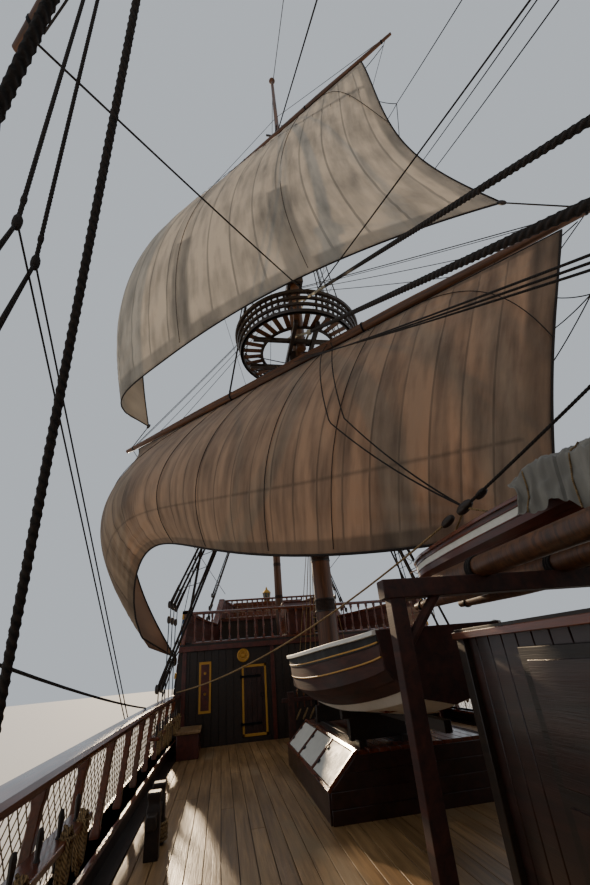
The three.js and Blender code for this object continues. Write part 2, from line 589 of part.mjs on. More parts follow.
function stay({ name, rig, z, rope, split, to, foot }) {
  const { x } = rig.at;
  const mast = mastAt(rig, z - 90);
  const end = foot === 'sprit' ? spritAt(to[0]).add(vec(0, 0, 215)) : vec(...to);
  const along = new THREE.Vector3().subVectors(end, vec(x, 0, z));
  const mouse = vec(x, 0, z).addScaledVector(along, split / along.length());
  const grip = ring(mast + GAP, mast + 50, z - 90, z + 10).translate(x, 0, 0);
  const legs = [1, -1].map((hand) => bar(vec(x - 60, hand * (mast + 120), z - 40), mouse, rope * 0.8));
  const horns = [1, -1].map((hand) => bar(vec(x - 60, hand * (mast + 20), z - 40),
    vec(x - 60, hand * (mast + 150),
    z - 40), rope * 0.9));
  const bulge = new THREE.SphereGeometry(rope * 1.9, 6, 4).translate(...mouse.toArray());
  const heart = new THREE.SphereGeometry(rope * 2.3, 6, 4).translate(...end.toArray());
  const seat = foot === 'sprit' ? ring(150, 215, -60, 60).rotateY(Math.PI / 2 - 0.435)
    .translate(...spritAt(to[0])
    .toArray()) : bar(end, vec(FORE.x - RIG.fore.foot - GAP, 0, end.z), rope * 1.6);
  const core = foot === 'sprit' ? bar(end, spritAt(to[0]).add(vec(0, 0, 170)), rope * 1.4) : [];
  const rope1 = bar(mouse, end, rope);
  const body = join(grip, legs, horns, bulge, heart, rope1, core, seat);
  add(name, foot === 'sprit' ? cut(body, bar(SPRIT.heel, SPRIT.end, SPRIT.radius + GAP, SPRIT.tip + GAP,
    12)) : body,
    ROPE);
}

// A yard's parrel turns on its mast with this running clearance
const RUNNING = 0.5;
const parrelOf = (mast, sides = 12) => (mast + RUNNING) / Math.cos(Math.PI / sides);

// Yards: half-length, middle and end radii, level of the axis, distance ahead of the mast
const YARDS = {
  main: { half: 8100, middle: 150, end: 70, z: 10800, ahead: 500 },
  mainTop: { half: 5450, middle: 110, end: 50, z: 22800, ahead: 340 },
  fore: { half: 6600, middle: 135, front: 126.5, end: 65, z: 10100, ahead: 460 },
  foreTop: { half: 4500, middle: 95, front: 88.2, end: 45, z: 18960, ahead: 320 },
};

// A yard lies along local Y. Its parrel holds it to the mast behind it
function yard(name, spec, parent, mast) {
  const { half, middle, end, z, ahead } = spec;
  const pole = turned([[0, -half], [end, -half], [middle, -half * 0.45], [middle, half * 0.45], [end, half],
    [0, half]],
    8).rotateX(-Math.PI / 2);
  const cleats = [1, -1].map((hand) => bar(vec(0, hand * (half - 420), 0), vec(0, hand * (half - 360), 0),
    middle * 0.85,
    middle * 0.85, 6));
  const parrel = ring(parrelOf(mast), mast + 42, -50, 50);
  const truss = box(mast + 25, ahead - middle * 0.6, -60, 60, -45, 45);
  const body = join(pole.translate(ahead, 0, 0), cleats.map((c) => c.translate(ahead, 0, 0)), parrel, truss);
  return add(name, body.translate([0, 0, z]), SPAR, parent);
}

// A sail set on a yard, as a thin closed sheet. u runs from starboard to port, v from the head to the foot
function sail(name, spec, parent) {
  const { head, clews, belly, leech, hollow, lift, columns, rows } = spec;
  const point = (u, v) => {
    const round = 1 - Math.abs(2 * u ** 0.5 - 1) ** 3;
    const full = 1 - (1 - v) ** 2.4;
    const edge = Math.sin(Math.PI * v ** 1.25);
    const p = vec(...head[0]).lerp(vec(...head[1]), u).lerp(vec(...clews[0]).lerp(vec(...clews[1]), u), v);
    p.x += belly * full * round + mix(leech[0], leech[1], u ** 0.6) * edge;
    p.y += mix(hollow[0], -hollow[1], u) * edge;
    p.z += lift * (1 - u) ** 2 * (1 - (1 - u) ** 8) * v ** 2;
    return p;
  };
  const positions = [];
  const index = [];
  const layer = (rows + 1) * (columns + 1);
  for (const offset of [CLOTH / 2, -CLOTH / 2]) {
    for (let i = 0; i <= rows; i += 1) {
      for (let j = 0; j <= columns; j += 1) {
        const [u, v] = [j / columns, i / rows];
        const across = point(Math.min(u + 0.01, 1), v).sub(point(Math.max(u - 0.01, 0), v));
        const down = point(u, Math.min(v + 0.01, 1)).sub(point(u, Math.max(v - 0.01, 0)));
        const p = point(u, v).addScaledVector(across.cross(down).normalize(), -offset);
        positions.push(p.x, p.y, p.z);
      }
    }
  }
  const id = (i, j, k) => k * layer + i * (columns + 1) + j;
  const quad = (a, b, c, d) => index.push(a, b, c, a, c, d);
  for (let i = 0; i < rows; i += 1) {
    for (let j = 0; j < columns; j += 1) {
      quad(id(i, j, 0), id(i + 1, j, 0), id(i + 1, j + 1, 0), id(i, j + 1, 0));
      quad(id(i, j, 1), id(i, j + 1, 1), id(i + 1, j + 1, 1), id(i + 1, j, 1));
    }
    quad(id(i, 0, 0), id(i, 0, 1), id(i + 1, 0, 1), id(i + 1, 0, 0));
    quad(id(i, columns, 0), id(i + 1, columns, 0), id(i + 1, columns, 1), id(i, columns, 1));
  }
  for (let j = 0; j < columns; j += 1) {
    quad(id(0, j, 0), id(0, j + 1, 0), id(0, j + 1, 1), id(0, j, 1));
    quad(id(rows, j, 0), id(rows, j, 1), id(rows, j + 1, 1), id(rows, j + 1, 0));
  }
  return add(name, closed(positions, index), CANVAS, parent);
}

// Sail corners are in the yard's own frame: ahead of the mast, towards the port arm, and the ship's level
// belly: how far the middle fills; leech and hollow: how far the two side edges billow forward and curve
// inwards; lift: how far the foot rises towards its starboard end
const SAILS = {
  course: {
    head: [[500, -7300, 10646.4], [500, 7200, 10646.4]], clews: [[-700, -6080, 3350], [1500, 5200, 4500]],
    belly: 2300, leech: [1000, 100], hollow: [0, 100], lift: 4400, columns: 16, rows: 12,
  },
  topsail: {
    head: [[340, -4200, 22688.7], [340, 4200, 22688.7]], clews: [[-250, -7800, 11900], [340, 6150, 12150]],
    belly: 2050, leech: [1350, 0], hollow: [0, 700], lift: 0, columns: 16, rows: 12,
  },
};

// A furled sail is a long roll lying along the fore side of the yard
function furled(name, spec, parent, roll) {
  const { half, front, z, ahead } = spec;
  const reach = half * 0.84;
  const shape = turned([[0, -reach], [roll * 0.45, -reach], [roll * 0.9, -reach * 0.6], [roll, 0],
    [roll * 0.9, reach * 0.6], [roll * 0.45, reach], [0, reach]], 10).rotateX(-Math.PI / 2);
  return add(name, shape.translate(ahead + front + roll + GAP, 0, z), CANVAS, parent);
}

// One square-rigged mast's yards turn together about their own mast
function squareYards() {
  const swing = (x) => {
    const turn = new THREE.Group();
    turn.position.set(x, 0, 0);
    turn.rotation.z = BRACE;
    group.add(turn);
    return turn;
  };
  const mainTurn = swing(MAIN.x);
  yard('main_yard', YARDS.main, mainTurn, mastAt(RIG.main, YARDS.main.z - 50));
  sail('main_course', SAILS.course, mainTurn);
  const mainTopTurn = swing(MAIN.x + TOPMAST.ahead);
  yard('main_topsail_yard', YARDS.mainTop, mainTopTurn, topmastAt(RIG.main, YARDS.mainTop.z - 50));
  sail('main_topsail', SAILS.topsail, mainTopTurn);
  const foreTurn = swing(FORE.x);
  yard('fore_yard', YARDS.fore, foreTurn, mastAt(RIG.fore, YARDS.fore.z - 50));
  furled('fore_course', YARDS.fore, foreTurn, 175);
  const foreTopTurn = swing(FORE.x + TOPMAST.ahead);
  yard('fore_topsail_yard', YARDS.foreTop, foreTopTurn, topmastAt(RIG.fore, YARDS.foreTop.z - 50));
  furled('fore_topsail', YARDS.foreTop, foreTopTurn, 140);
}

// The mizzen's long slanting yard lies against the port side of its mast, its sail furled along it
const LATEEN = { z: 10400, aside: 330, slope: 48 * Math.PI / 180, lower: 4300, upper: 6300, radius: 100,
  roll: 130,
  mast: 154.1 };
function lateen() {
  const swing = new THREE.Group();
  swing.position.set(MIZZEN.x, 0, LATEEN.z);
  group.add(swing);
  const run = (from, to, radius) => turned([[0, from], [radius * 0.5, from], [radius, from * 0.4],
    [radius, to * 0.3],
    [radius * 0.45, to], [0, to]], 10).rotateY(LATEEN.slope - Math.PI / 2);
  const parrel = ring(parrelOf(LATEEN.mast), LATEEN.mast + 60, -60, 60).rotateZ(Math.PI / 12);
  const truss = box(-60, 60, 200, LATEEN.aside, -55, 55);
  const pole = run(-LATEEN.lower, LATEEN.upper, LATEEN.radius).translate(0, LATEEN.aside, 0);
  add('mizzen_yard', join(pole, parrel, truss), SPAR, swing);
  const roll = run(-LATEEN.lower * 0.86, LATEEN.upper * 0.86, LATEEN.roll);
  add('mizzen_sail', roll.translate(0, LATEEN.aside + LATEEN.radius + LATEEN.roll + GAP, 0), CANVAS, swing);
}

// Spritsail yard slung under the bowsprit. The top of its sling clears the spar over the whole swing
const SPRITSAIL = { x: 20300, half: 3900, middle: 90, front: 79.8, end: 42, drop: 300,
  swing: 36 * Math.PI / 180 };
function spritsail() {
  const at = spritAt(SPRITSAIL.x);
  const swing = new THREE.Group();
  swing.position.set(at.x, 0, at.z - SPRITSAIL.drop);
  group.add(swing);
  const spec = { ...SPRITSAIL, z: 0, ahead: 0 };
  const pole = turned([[0, -spec.half], [spec.end, -spec.half], [spec.middle, -spec.half * 0.4],
    [spec.middle, spec.half * 0.4], [spec.end, spec.half], [0, spec.half]], 10).rotateX(-Math.PI / 2);
  const saddles = steps(-SPRITSAIL.swing, SPRITSAIL.swing, 12).map((turn) => bar(SPRIT.heel, SPRIT.end,
    SPRIT.radius + GAP, SPRIT.tip + GAP, 12).translate(-at.x, 0, SPRITSAIL.drop - at.z).rotateZ(turn));
  const sling = cut(turned([[0, 20], [45, 20], [45, 220], [0, 220]], 8), saddles);
  add('spritsail_yard', join(pole, sling), SPAR, swing);
  furled('spritsail', spec, swing, 120);
}

// Rudder on the raked sternpost
const PINTLE = 40;
function rudder() {
  const along = new THREE.Vector3().subVectors(POST.high, POST.low).normalize();
  const lean = Math.atan2(-along.x, along.z);
  const swing = new THREE.Group();
  swing.position.copy(POST.low).add(vec(-(PINTLE + GAP) / Math.cos(lean), 0, 0));
  swing.rotation.y = -lean;
  group.add(swing);
  const blade = slab([[-20, 60], [-20, 4300], [-430, 4300], [-520, 2900], [-900, 1500], [-1050, 60]], -75,
    75);
  const pintles = [500, 1700, 2900, 4000].map((z) => bar(vec(0, 0, z - 110), vec(0, 0, z + 110), PINTLE,
    PINTLE, 8));
  const straps = [500, 1700, 2900, 4000].map((z) => box(-600, -20, -84, 84, z - 40, z + 40));
  add('rudder', join(blade, pintles, straps), TIMBER, swing);
}

// Deck fittings
const SKYLIGHT = { aft: -200, fore: 3100, half: 1180, side: 310, flat: 810, high: 645 };
function skylight() {
  const { half, side: edge, flat, high } = SKYLIGHT;
  const outline = [[-half, 0], [half, 0], [half, edge], [flat, high], [-flat, high], [-half, edge]];
  const section = (x) => outline.map(([y, z]) => vec(x, y, WAIST + GAP + z));
  add('skylight', loft([section(SKYLIGHT.aft), section(SKYLIGHT.fore)]), PANEL);
}

function capstan() {
  const profile = [[0, 19 + GAP], [330, 19 + GAP], [330, 90], [210, 180], [185, 560], [250, 700],
    [250, 860], [0, 880]];
  add('capstan', turned(profile, 12).translate(-2300, 0, WAIST), TIMBER);
  add('capstan_base', turned([[0, GAP], [420, GAP], [420, 19], [0, 19]], 12).translate(-2300, 0, WAIST),
    TIMBER);
}

function bitts(name, x, y) {
  const posts = [-210, 210].map((dx) => box(x + dx - 70, x + dx + 70, y - 70, y + 70, WAIST + GAP,
    WAIST + 560));
  const crosspiece = box(x - 420, x + 420, y - 50, y + 50, WAIST + 280, WAIST + 400);
  add(name, join(posts, crosspiece), TIMBER);
}

function companion() {
  const deck = quarterdeck(-3650) + GAP;
  const hood = slab([[-4550, deck + 3], [-3500, deck - 8], [-3500, deck + 700], [-3700, deck + 900],
    [-4550, deck + 930]],
    -620, 120);
  add('companion_hood', cut(hood, decked(steps(-5000, -3000, 2), () => 2000, (x) => quarterdeck(x) + GAP)),
    RAILWOOD);
}

// An open boat: a shell with thwarts, lying bow first along the given heading
function boat(name, { x, y, keel, length, beam, depth, heading }) {
  const rows = [0.62, 0.86, 0.98, 1, 0.96, 0.84, 0.56, 0.1];
  const rings = (shrink, floor) => rows.map((w, i) => {
    const at = mix(-length / 2 + shrink, length / 2 - shrink, i / (rows.length - 1));
    const half = Math.max(w * beam / 2 - shrink, 12);
    const rise = 0.28 * depth * Math.abs(2 * i / (rows.length - 1) - 1) ** 3 + floor;
    const profile = [[0, rise], [half * 0.55, rise + depth * 0.12], [half * 0.92, rise + depth * 0.45],
      [half, depth
      + 0.16 * depth * Math.abs(2 * i / (rows.length - 1) - 1) ** 2 + (floor ? 20 : 0)]];
    return [...profile, ...profile.slice(1).reverse().map(([a, b]) => [-a, b])].map(([a, b]) => vec(at, a,
      b));
  });
  const shell = cut(loft(rings(0, 0)), loft(rings(45, 60)));
  const thwarts = [-0.24, 0.02, 0.26].map((f) => box(f * length - 110, f * length + 110, -beam * 0.485,
    beam * 0.485,
    depth * 0.74, depth * 0.74 + 40));
  const keelPlank = slab([[-length * 0.46, -30], [length * 0.4, -30], [length * 0.44, 60],
    [-length * 0.46, 60]], -35, 35);
  const turn = heading > 0 ? 0 : 180;
  add(name, join(shell, thwarts, keelPlank).rotate([0, 0, turn]).translate([x, y, keel]), RAILWOOD);
}

const LONGBOAT = { x: 2250, y: -400, keel: 2310, length: 5500, beam: 2000, depth: 720, heading: -1 };
const JOLLYBOAT = { x: 3900, y: 1250, keel: 3792, length: 4700, beam: 1500, depth: 440, heading: -1 };
const GALLEY = { aft: 5700, fore: 7900, starboard: -550, port: 1950, top: 3090 };
const SPARS = { level: 3600, radius: 100, beam: [3370, 3530] };

// Two crutches on bearers along the skylight's flat top carry the long boat
const CRUTCH = { places: [600, 2700], half: 380, thick: 60, bearer: 85 };
function boatChocks() {
  const foot = WAIST + SKYLIGHT.high + 2 * GAP;
  const y = LONGBOAT.y;
  const bearers = [1, -1].map((hand) => box(CRUTCH.places[0] - 450, CRUTCH.places[1] + 250,
    y + hand * 280 - 50, y + hand * 280 + 50, foot, foot + CRUTCH.bearer));
  const crutches = CRUTCH.places.map((x) => box(x - CRUTCH.thick, x + CRUTCH.thick, y - CRUTCH.half,
    y + CRUTCH.half,
    foot + CRUTCH.bearer - 30, LONGBOAT.keel - 30 - GAP));
  add('boat_chocks', join(bearers, crutches), TIMBER);
}

// A gallows on deck and another on the galley roof carry the spare spars and, on cradles, the jolly boat
function gallows() {
  const [low, high] = SPARS.beam;
  const onDeck = [-880, 2080].map((y) => box(5190, 5330, y - 70, y + 70, WAIST + GAP, high));
  const onRoof = [-300, 1700].map((y) => box(7130, 7270, y - 70, y + 70, GALLEY.top + GAP, high));
  const beams = [box(5180, 5340, -1000, 2200, low, high), box(7120, 7280, -450, 1850, low, high)];
  const spars = [[0, 3000, 9300], [850, 1900, 8900], [1650, 1900, 8600]].map(([y, aft, fore]) =>
    bar(vec(aft, y, SPARS.level), vec(fore, y, SPARS.level), SPARS.radius, SPARS.radius, 8));
  const cradles = [2600, 4900].map((x) => box(x - 60, x + 60, 700, 1800, 3660, JOLLYBOAT.keel - 30 - GAP));
  add('gallows_and_spars', join(onDeck, onRoof, beams, spars, cradles), SPAR);
}

function galley() {
  const { aft, fore, starboard, port, top } = GALLEY;
  const walls = box(aft, fore, starboard, port, WAIST + GAP, top - 60);
  const roof = box(aft - 60, fore + 60, starboard - 60, port + 60, top - 70, top);
  add('galley', join(walls, roof), TIMBER);
}

hull();
waistRail('waist_rail_port', 1);
waistRail('waist_rail_starboard', -1);
aftercastle();
aftBulwarks();
door('door_port', 1);
door('door_starboard', -1);
forecastleBlock();
breakRail('quarterdeck_rail', CASTLE_BREAK - 80, quarterdeck);
breakRail('poop_rail', POOP_BREAK - 80, poop);
breakRail('forecastle_break_rail', FORE_BREAK + 80, forecastle, 250);
anchor('anchor_port', 1);
anchor('anchor_starboard', -1);
beakhead();
bowsprit();
lowerMast('main_lower_mast', RIG.main);
lowerMast('fore_lower_mast', RIG.fore);
topmast('main_topmast', RIG.main);
topmast('fore_topmast', RIG.fore);
basket('main_top', RIG.main);
basket('fore_top', RIG.fore);
mizzenMast();
SHROUDS.forEach(shrouds);
topmastShrouds('main_topmast_shrouds', RIG.main);
topmastShrouds('fore_topmast_shrouds', RIG.fore);
STAYS.forEach(stay);
squareYards();
lateen();
spritsail();
rudder();
skylight();
capstan();
bitts('bitts_starboard', 3000, -3080);
bitts('bitts_port', 3000, 3080);
companion();
boat('long_boat', LONGBOAT);
boat('jolly_boat', JOLLYBOAT);
boatChocks();
gallows();
galley();

export default group;
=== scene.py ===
"""Looks of a three-masted wooden sailing ship, built around its solid model.

Every length is in metres, +X forward, +Y to port and +Z up, with the origin on the waterline amidships.
"""

import random
from math import atan2, copysign, cos, exp, hypot, pi, radians, sin, tau

import bpy
from mathutils import Euler, Matrix, Vector, noise


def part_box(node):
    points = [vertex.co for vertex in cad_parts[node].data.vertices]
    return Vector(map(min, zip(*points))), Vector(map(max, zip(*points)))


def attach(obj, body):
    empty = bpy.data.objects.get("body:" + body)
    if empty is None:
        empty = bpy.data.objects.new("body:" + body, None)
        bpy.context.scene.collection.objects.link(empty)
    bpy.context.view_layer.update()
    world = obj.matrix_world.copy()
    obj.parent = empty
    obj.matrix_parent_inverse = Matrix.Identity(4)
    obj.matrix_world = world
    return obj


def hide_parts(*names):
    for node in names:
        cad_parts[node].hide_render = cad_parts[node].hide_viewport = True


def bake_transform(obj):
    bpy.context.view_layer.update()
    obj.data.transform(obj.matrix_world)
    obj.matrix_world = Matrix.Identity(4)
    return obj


bl_info = {
    "name": "Square-rigged ship",
    "version": (1, 0, 0),
    "blender": (4, 5, 0),
    "location": "3D View > Sidebar > Ship",
    "description": "Sails, rigging, planking and deck gear of a three-masted wooden ship",
    "category": "Add Mesh",
}

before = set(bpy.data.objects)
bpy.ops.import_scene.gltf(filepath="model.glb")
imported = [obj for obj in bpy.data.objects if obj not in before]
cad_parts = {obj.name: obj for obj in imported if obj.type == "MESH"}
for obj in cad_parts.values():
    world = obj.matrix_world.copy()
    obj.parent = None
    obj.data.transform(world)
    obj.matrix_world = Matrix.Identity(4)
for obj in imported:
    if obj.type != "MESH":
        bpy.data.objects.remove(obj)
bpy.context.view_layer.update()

# Levels and places of the ship's main parts
WAIST, COAMING, RAIL_TOP = 1.3, 0.27, 2.45
CASTLE_BREAK, QUARTERDECK, QUARTERDECK_RISE = -3.3, 3.55, 0.3
POOP_BREAK, POOP_HEIGHT = -10.9, 1.05
FORE_BREAK, FORECASTLE, FORECASTLE_RISE = 9.9, 3.05, 0.2
BULWARK, STERN, STEM = 0.82, -13.4, 14.2
MAIN, FORE, MIZZEN = Vector((-1.2, 0, 0)), Vector((10.5, 0, 0)), Vector((-9.5, 0, 0))
BRACE = radians(-45)
# How far looks stand off a solid that they rest on, and the radius that stands for a point in turned shapes
GAP, POINTED = 0.0003, 0.0004
# Port and starboard, and the three ways that most things point
HANDS = (1, -1)
ALONG, ACROSS, UP = (1, 0, 0), (0, 1, 0), (0, 0, 1)
# How far the channels, which spread the shrouds, stand out from the side
CHANNEL = 0.13
# Width of a sail's cloths and of a deck plank, and how far apart robands, ratlines and gaskets are
CLOTH, PLANK, ROBAND, RATLINE, GASKET = 0.61, 0.165, 0.305, 0.38, 0.62

# Hull sections: place, widest half-breadth, its level, bottom of the planking, fullness and lean of the side
STATIONS = [
    (-13.4, 2.30, 1.70, 0.65, 1.50, 0.12), (-12.8, 2.48, 1.50, -0.70, 0.90, 0.12),
    (-11.8, 2.70, 1.30, -2.30, 0.66, 0.11), (-10.0, 3.05, 1.10, -2.70, 0.95, 0.10),
    (-7.5, 3.40, 0.85, -2.85, 1.50, 0.10), (-4.5, 3.66, 0.65, -2.90, 2.10, 0.10),
    (-1.0, 3.78, 0.55, -2.90, 2.60, 0.09), (3.0, 3.80, 0.55, -2.90, 2.60, 0.09),
    (6.5, 3.78, 0.60, -2.90, 2.30, 0.09), (9.0, 3.68, 0.70, -2.85, 1.90, 0.06),
    (11.0, 3.34, 0.85, -2.60, 1.50, 0.02), (12.4, 2.68, 1.00, -1.90, 1.30, -0.02),
    (13.4, 1.78, 1.15, -0.80, 1.30, -0.04), (13.95, 0.96, 1.25, 0.30, 1.50, -0.03),
    (14.2, 0.33, 1.29, 0.90, 2.00, 0.0),
]


def vec(x, y, z):
    return Vector((x, y, z))


def polar(radius, angle, z=0.0):
    """A point by its distance from the Z axis and its angle about it."""
    return Vector((radius * cos(angle), radius * sin(angle), z))


def around(count, start=0.0):
    """Angles spread evenly over one turn."""
    return [start + tau * k / count for k in range(count)]


def mix(a, b, t):
    return a + (b - a) * t


def clamp(t):
    return min(max(t, 0.0), 1.0)


def corners(a0, a1, b0, b1):
    """The four corners of an oblong in turn."""
    return ((a0, b0), (a1, b0), (a1, b1), (a0, b1))


SQUARE = corners(-1, 1, -1, 1)


def steps(low, high, count):
    return [mix(low, high, i / count) for i in range(count + 1)]


def station(x, column):
    """One column of the hull sections at any place, on a smooth curve."""
    last = len(STATIONS) - 2
    i = next((k - 1 for k, row in enumerate(STATIONS) if k and x <= row[0]), last)
    if x < STATIONS[0][0]:
        i = 0

    def slope(k):
        a, b = STATIONS[max(k - 1, 0)], STATIONS[min(k + 1, last + 1)]
        return (b[column] - a[column]) / (b[0] - a[0])

    a, b = STATIONS[i], STATIONS[i + 1]
    span = b[0] - a[0]
    t = clamp((x - a[0]) / span)
    return ((2 * t ** 3 - 3 * t ** 2 + 1) * a[column] + (t ** 3 - 2 * t ** 2 + t) * span * slope(i)
            + (3 * t ** 2 - 2 * t ** 3) * b[column] + (t ** 3 - t ** 2) * span * slope(i + 1))


def side(x, z):
    """Half-breadth of the ship's side at a place and level."""
    wide, level, bottom = station(x, 1), station(x, 2), station(x, 3)
    if z >= level:
        return wide - station(x, 5) * (z - level)
    full = station(x, 4)
    return wide * (1 - (1 - clamp((z - bottom) / (level - bottom))) ** full) ** (1 / full)


def raked(x, y, z):
    """The stern rakes aft and the stem forward with height."""
    rake = 0.12 * clamp((x - 11) / 3.2) ** 2 - 0.2 * clamp((-10 - x) / 3.4) ** 2
    return vec(x + rake * (z - WAIST), y, z)


def quarterdeck(x):
    return QUARTERDECK + QUARTERDECK_RISE * (CASTLE_BREAK - x) / (CASTLE_BREAK - STERN)


def forecastle(x):
    return FORECASTLE + FORECASTLE_RISE * (x - FORE_BREAK) / (STEM - FORE_BREAK)


def poop(x):
    return quarterdeck(x) + POOP_HEIGHT


def wall_top(x):
    return quarterdeck(x) + BULWARK + clamp((-10 - x) / (-10 - POOP_BREAK)) * POOP_HEIGHT


# Materials

# Nearly all of a noise lies in this stretch, which is spread over the range that is wanted
SPREAD = (0.3, 0.7)


def colour(code):
    """An sRGB hex value as linear red, green, blue and alpha. A linear colour is taken as it is."""
    if not isinstance(code, str):
        return (*code, 1.0)
    parts = [int(code[i:i + 2], 16) / 255 for i in (1, 3, 5)]
    return tuple(c / 12.92 if c <= 0.04045 else ((c + 0.055) / 1.055) ** 2.4 for c in parts) + (1.0,)


def fill(tree, target, feeds):
    """Gives a node's inputs a value, or a link from a socket."""
    for key, value in feeds.items():
        if isinstance(value, bpy.types.NodeSocket):
            tree.links.new(value, target.inputs[key])
        else:
            target.inputs[key].default_value = value


def node(tree, kind, feeds=None, **settings):
    """Adds a node with its settings, and fills its inputs."""
    made = tree.nodes.new(kind)
    for key, value in settings.items():
        setattr(made, key, value)
    fill(tree, made, feeds or {})
    return made


def shader(name):
    """A new material with its tree, the shader and the output."""
    made = bpy.data.materials.new(name)
    made.use_nodes = True
    tree = made.node_tree
    return made, tree, tree.nodes["Principled BSDF"], tree.nodes["Material Output"]


def maths(tree, operation, *values):
    """The result of one operation on values or sockets."""
    return node(tree, "ShaderNodeMath", dict(enumerate(values)), operation=operation).outputs[0]


def scaled(tree, vector, factor):
    return node(tree, "ShaderNodeVectorMath", {0: vector, "Scale": factor}, operation="SCALE").outputs[0]


def speckled(tree, where, scale, detail, roughness=0.5, distortion=0.0):
    """Noise over a place."""
    return node(tree, "ShaderNodeTexNoise", {
        "Vector": where, "Scale": scale, "Detail": detail, "Roughness": roughness,
        "Distortion": distortion}).outputs["Fac"]


def ranged(tree, value, low, high, first, last):
    """A value between low and high, taken to one between first and last."""
    return node(tree, "ShaderNodeMapRange", {
        "Value": value, "From Min": low, "From Max": high, "To Min": first, "To Max": last}).outputs[0]


def glossed(tree, spots, roughness, spread):
    """A roughness that strays from its middle with the spots of a noise."""
    return ranged(tree, spots, *SPREAD, max(roughness - spread, 0.05), min(roughness + spread, 1))


def bumped(tree, height, strength, distance, *below):
    """A bump, over another where one is given."""
    feeds = {"Strength": strength, "Distance": distance, "Height": height}
    return node(tree, "ShaderNodeBump", feeds | {"Normal": normal for normal in below}).outputs[0]


def ramp(tree, factor, *stops):
    """Colours along a factor, from (place, colour) pairs."""
    made = node(tree, "ShaderNodeValToRGB", {"Fac": factor})
    band = made.color_ramp
    while len(band.elements) < len(stops):
        band.elements.new(0.5)
    for element, (place, code) in zip(band.elements, stops):
        element.position, element.color = place, colour(code)
    return made.outputs["Color"]


def placed(tree):
    return node(tree, "ShaderNodeTexCoord").outputs["Object"]


def along(tree, turn, stretch):
    """Object coordinates turned so that the grain runs along X, and drawn out by stretch."""
    turned = node(tree, "ShaderNodeMapping", {"Vector": placed(tree), "Rotation": turn})
    return node(tree, "ShaderNodeMapping", {"Vector": turned.outputs[0], "Scale": stretch}).outputs[0]


def wood(name, dark, light, roughness, turn=(0, 0, 0), coat=0.0, figure=5.0, relief=0.25, boards=0.0, worn=None):
    """Timber with its grain along one direction. boards is how far single boards differ in tone."""
    made, tree, face, _ = shader(name)
    grain = speckled(tree, along(tree, turn, (0.35, figure, figure)), 3.0, 6.0, 0.62, 0.4)
    pores = speckled(tree, along(tree, turn, (4, 150, 150)), 1.0, 2.0)
    patch = speckled(tree, along(tree, turn, (0.5, 1.4, 1.4)), 1.3, 3.0)
    island = node(tree, "ShaderNodeNewGeometry").outputs["Random Per Island"]
    board = maths(tree, "MULTIPLY_ADD", island, boards, 1.06 - boards)
    shade = maths(tree, "MULTIPLY", board, ranged(tree, patch, *SPREAD, 0.78, 1.1))
    tint = scaled(tree, ramp(tree, grain, (0.28, dark), (0.72, light)), shade)
    if worn:
        rub = ranged(tree, patch, 0.56, 0.66, 0.0, 1.0)
        tint = node(tree, "ShaderNodeMix", {0: rub, 6: tint, 7: colour(worn)}, data_type="RGBA").outputs[2]
    fill(tree, face, {
        "Base Color": tint, "Roughness": glossed(tree, patch, roughness, 0.12), "Coat Weight": coat,
        "Coat Roughness": 0.12, "Normal": bumped(tree, grain, relief, 0.01, bumped(tree, pores, relief, 0.004))})
    return made


def plain(name, code, roughness, metal=0.0, coat=0.0, speckle=0.12, scale=9.0, relief=0.15):
    """Paint, iron or brass: one colour with a little weathering and unevenness."""
    made, tree, face, _ = shader(name)
    where = placed(tree)
    spots = speckled(tree, where, scale, 5.0, 0.65)
    shade = ranged(tree, spots, *SPREAD, 1 - speckle, 1 + speckle)
    fill(tree, face, {
        "Base Color": scaled(tree, colour(code)[:3], shade), "Roughness": glossed(tree, spots, roughness, 0.1),
        "Normal": bumped(tree, speckled(tree, where, scale * 14, 3.0), relief, 0.003), "Metallic": metal,
        "Coat Weight": coat})
    return made


def hemp(name, dark, light):
    """Laid rope: the strands wind round it, drawn from the rope's own lengthwise and round-about values. Its colour is
    painted shade, dark in the grooves between strands and light on their crests.
    """
    made, tree, face, _ = shader(name)
    lay = node(tree, "ShaderNodeAttribute", attribute_name="lay").outputs["Vector"]
    split = node(tree, "ShaderNodeSeparateXYZ", {0: lay}).outputs
    # Painted shade and highlight: the strand wave darkens the colour in the grooves between strands and lightens it on
    # their crests
    strand = maths(tree, "SINE", maths(tree, "MULTIPLY", maths(tree, "ADD", split[0], split[1]), tau))
    both = maths(tree, "MULTIPLY_ADD", strand, 0.24, speckled(tree, placed(tree), 35.0, 4.0))
    fill(tree, face, {"Base Color": ramp(tree, both, (0.2, dark), (0.75, light)), "Roughness": 0.9,
                      "Normal": bumped(tree, both, 0.8, 0.01)})
    return made


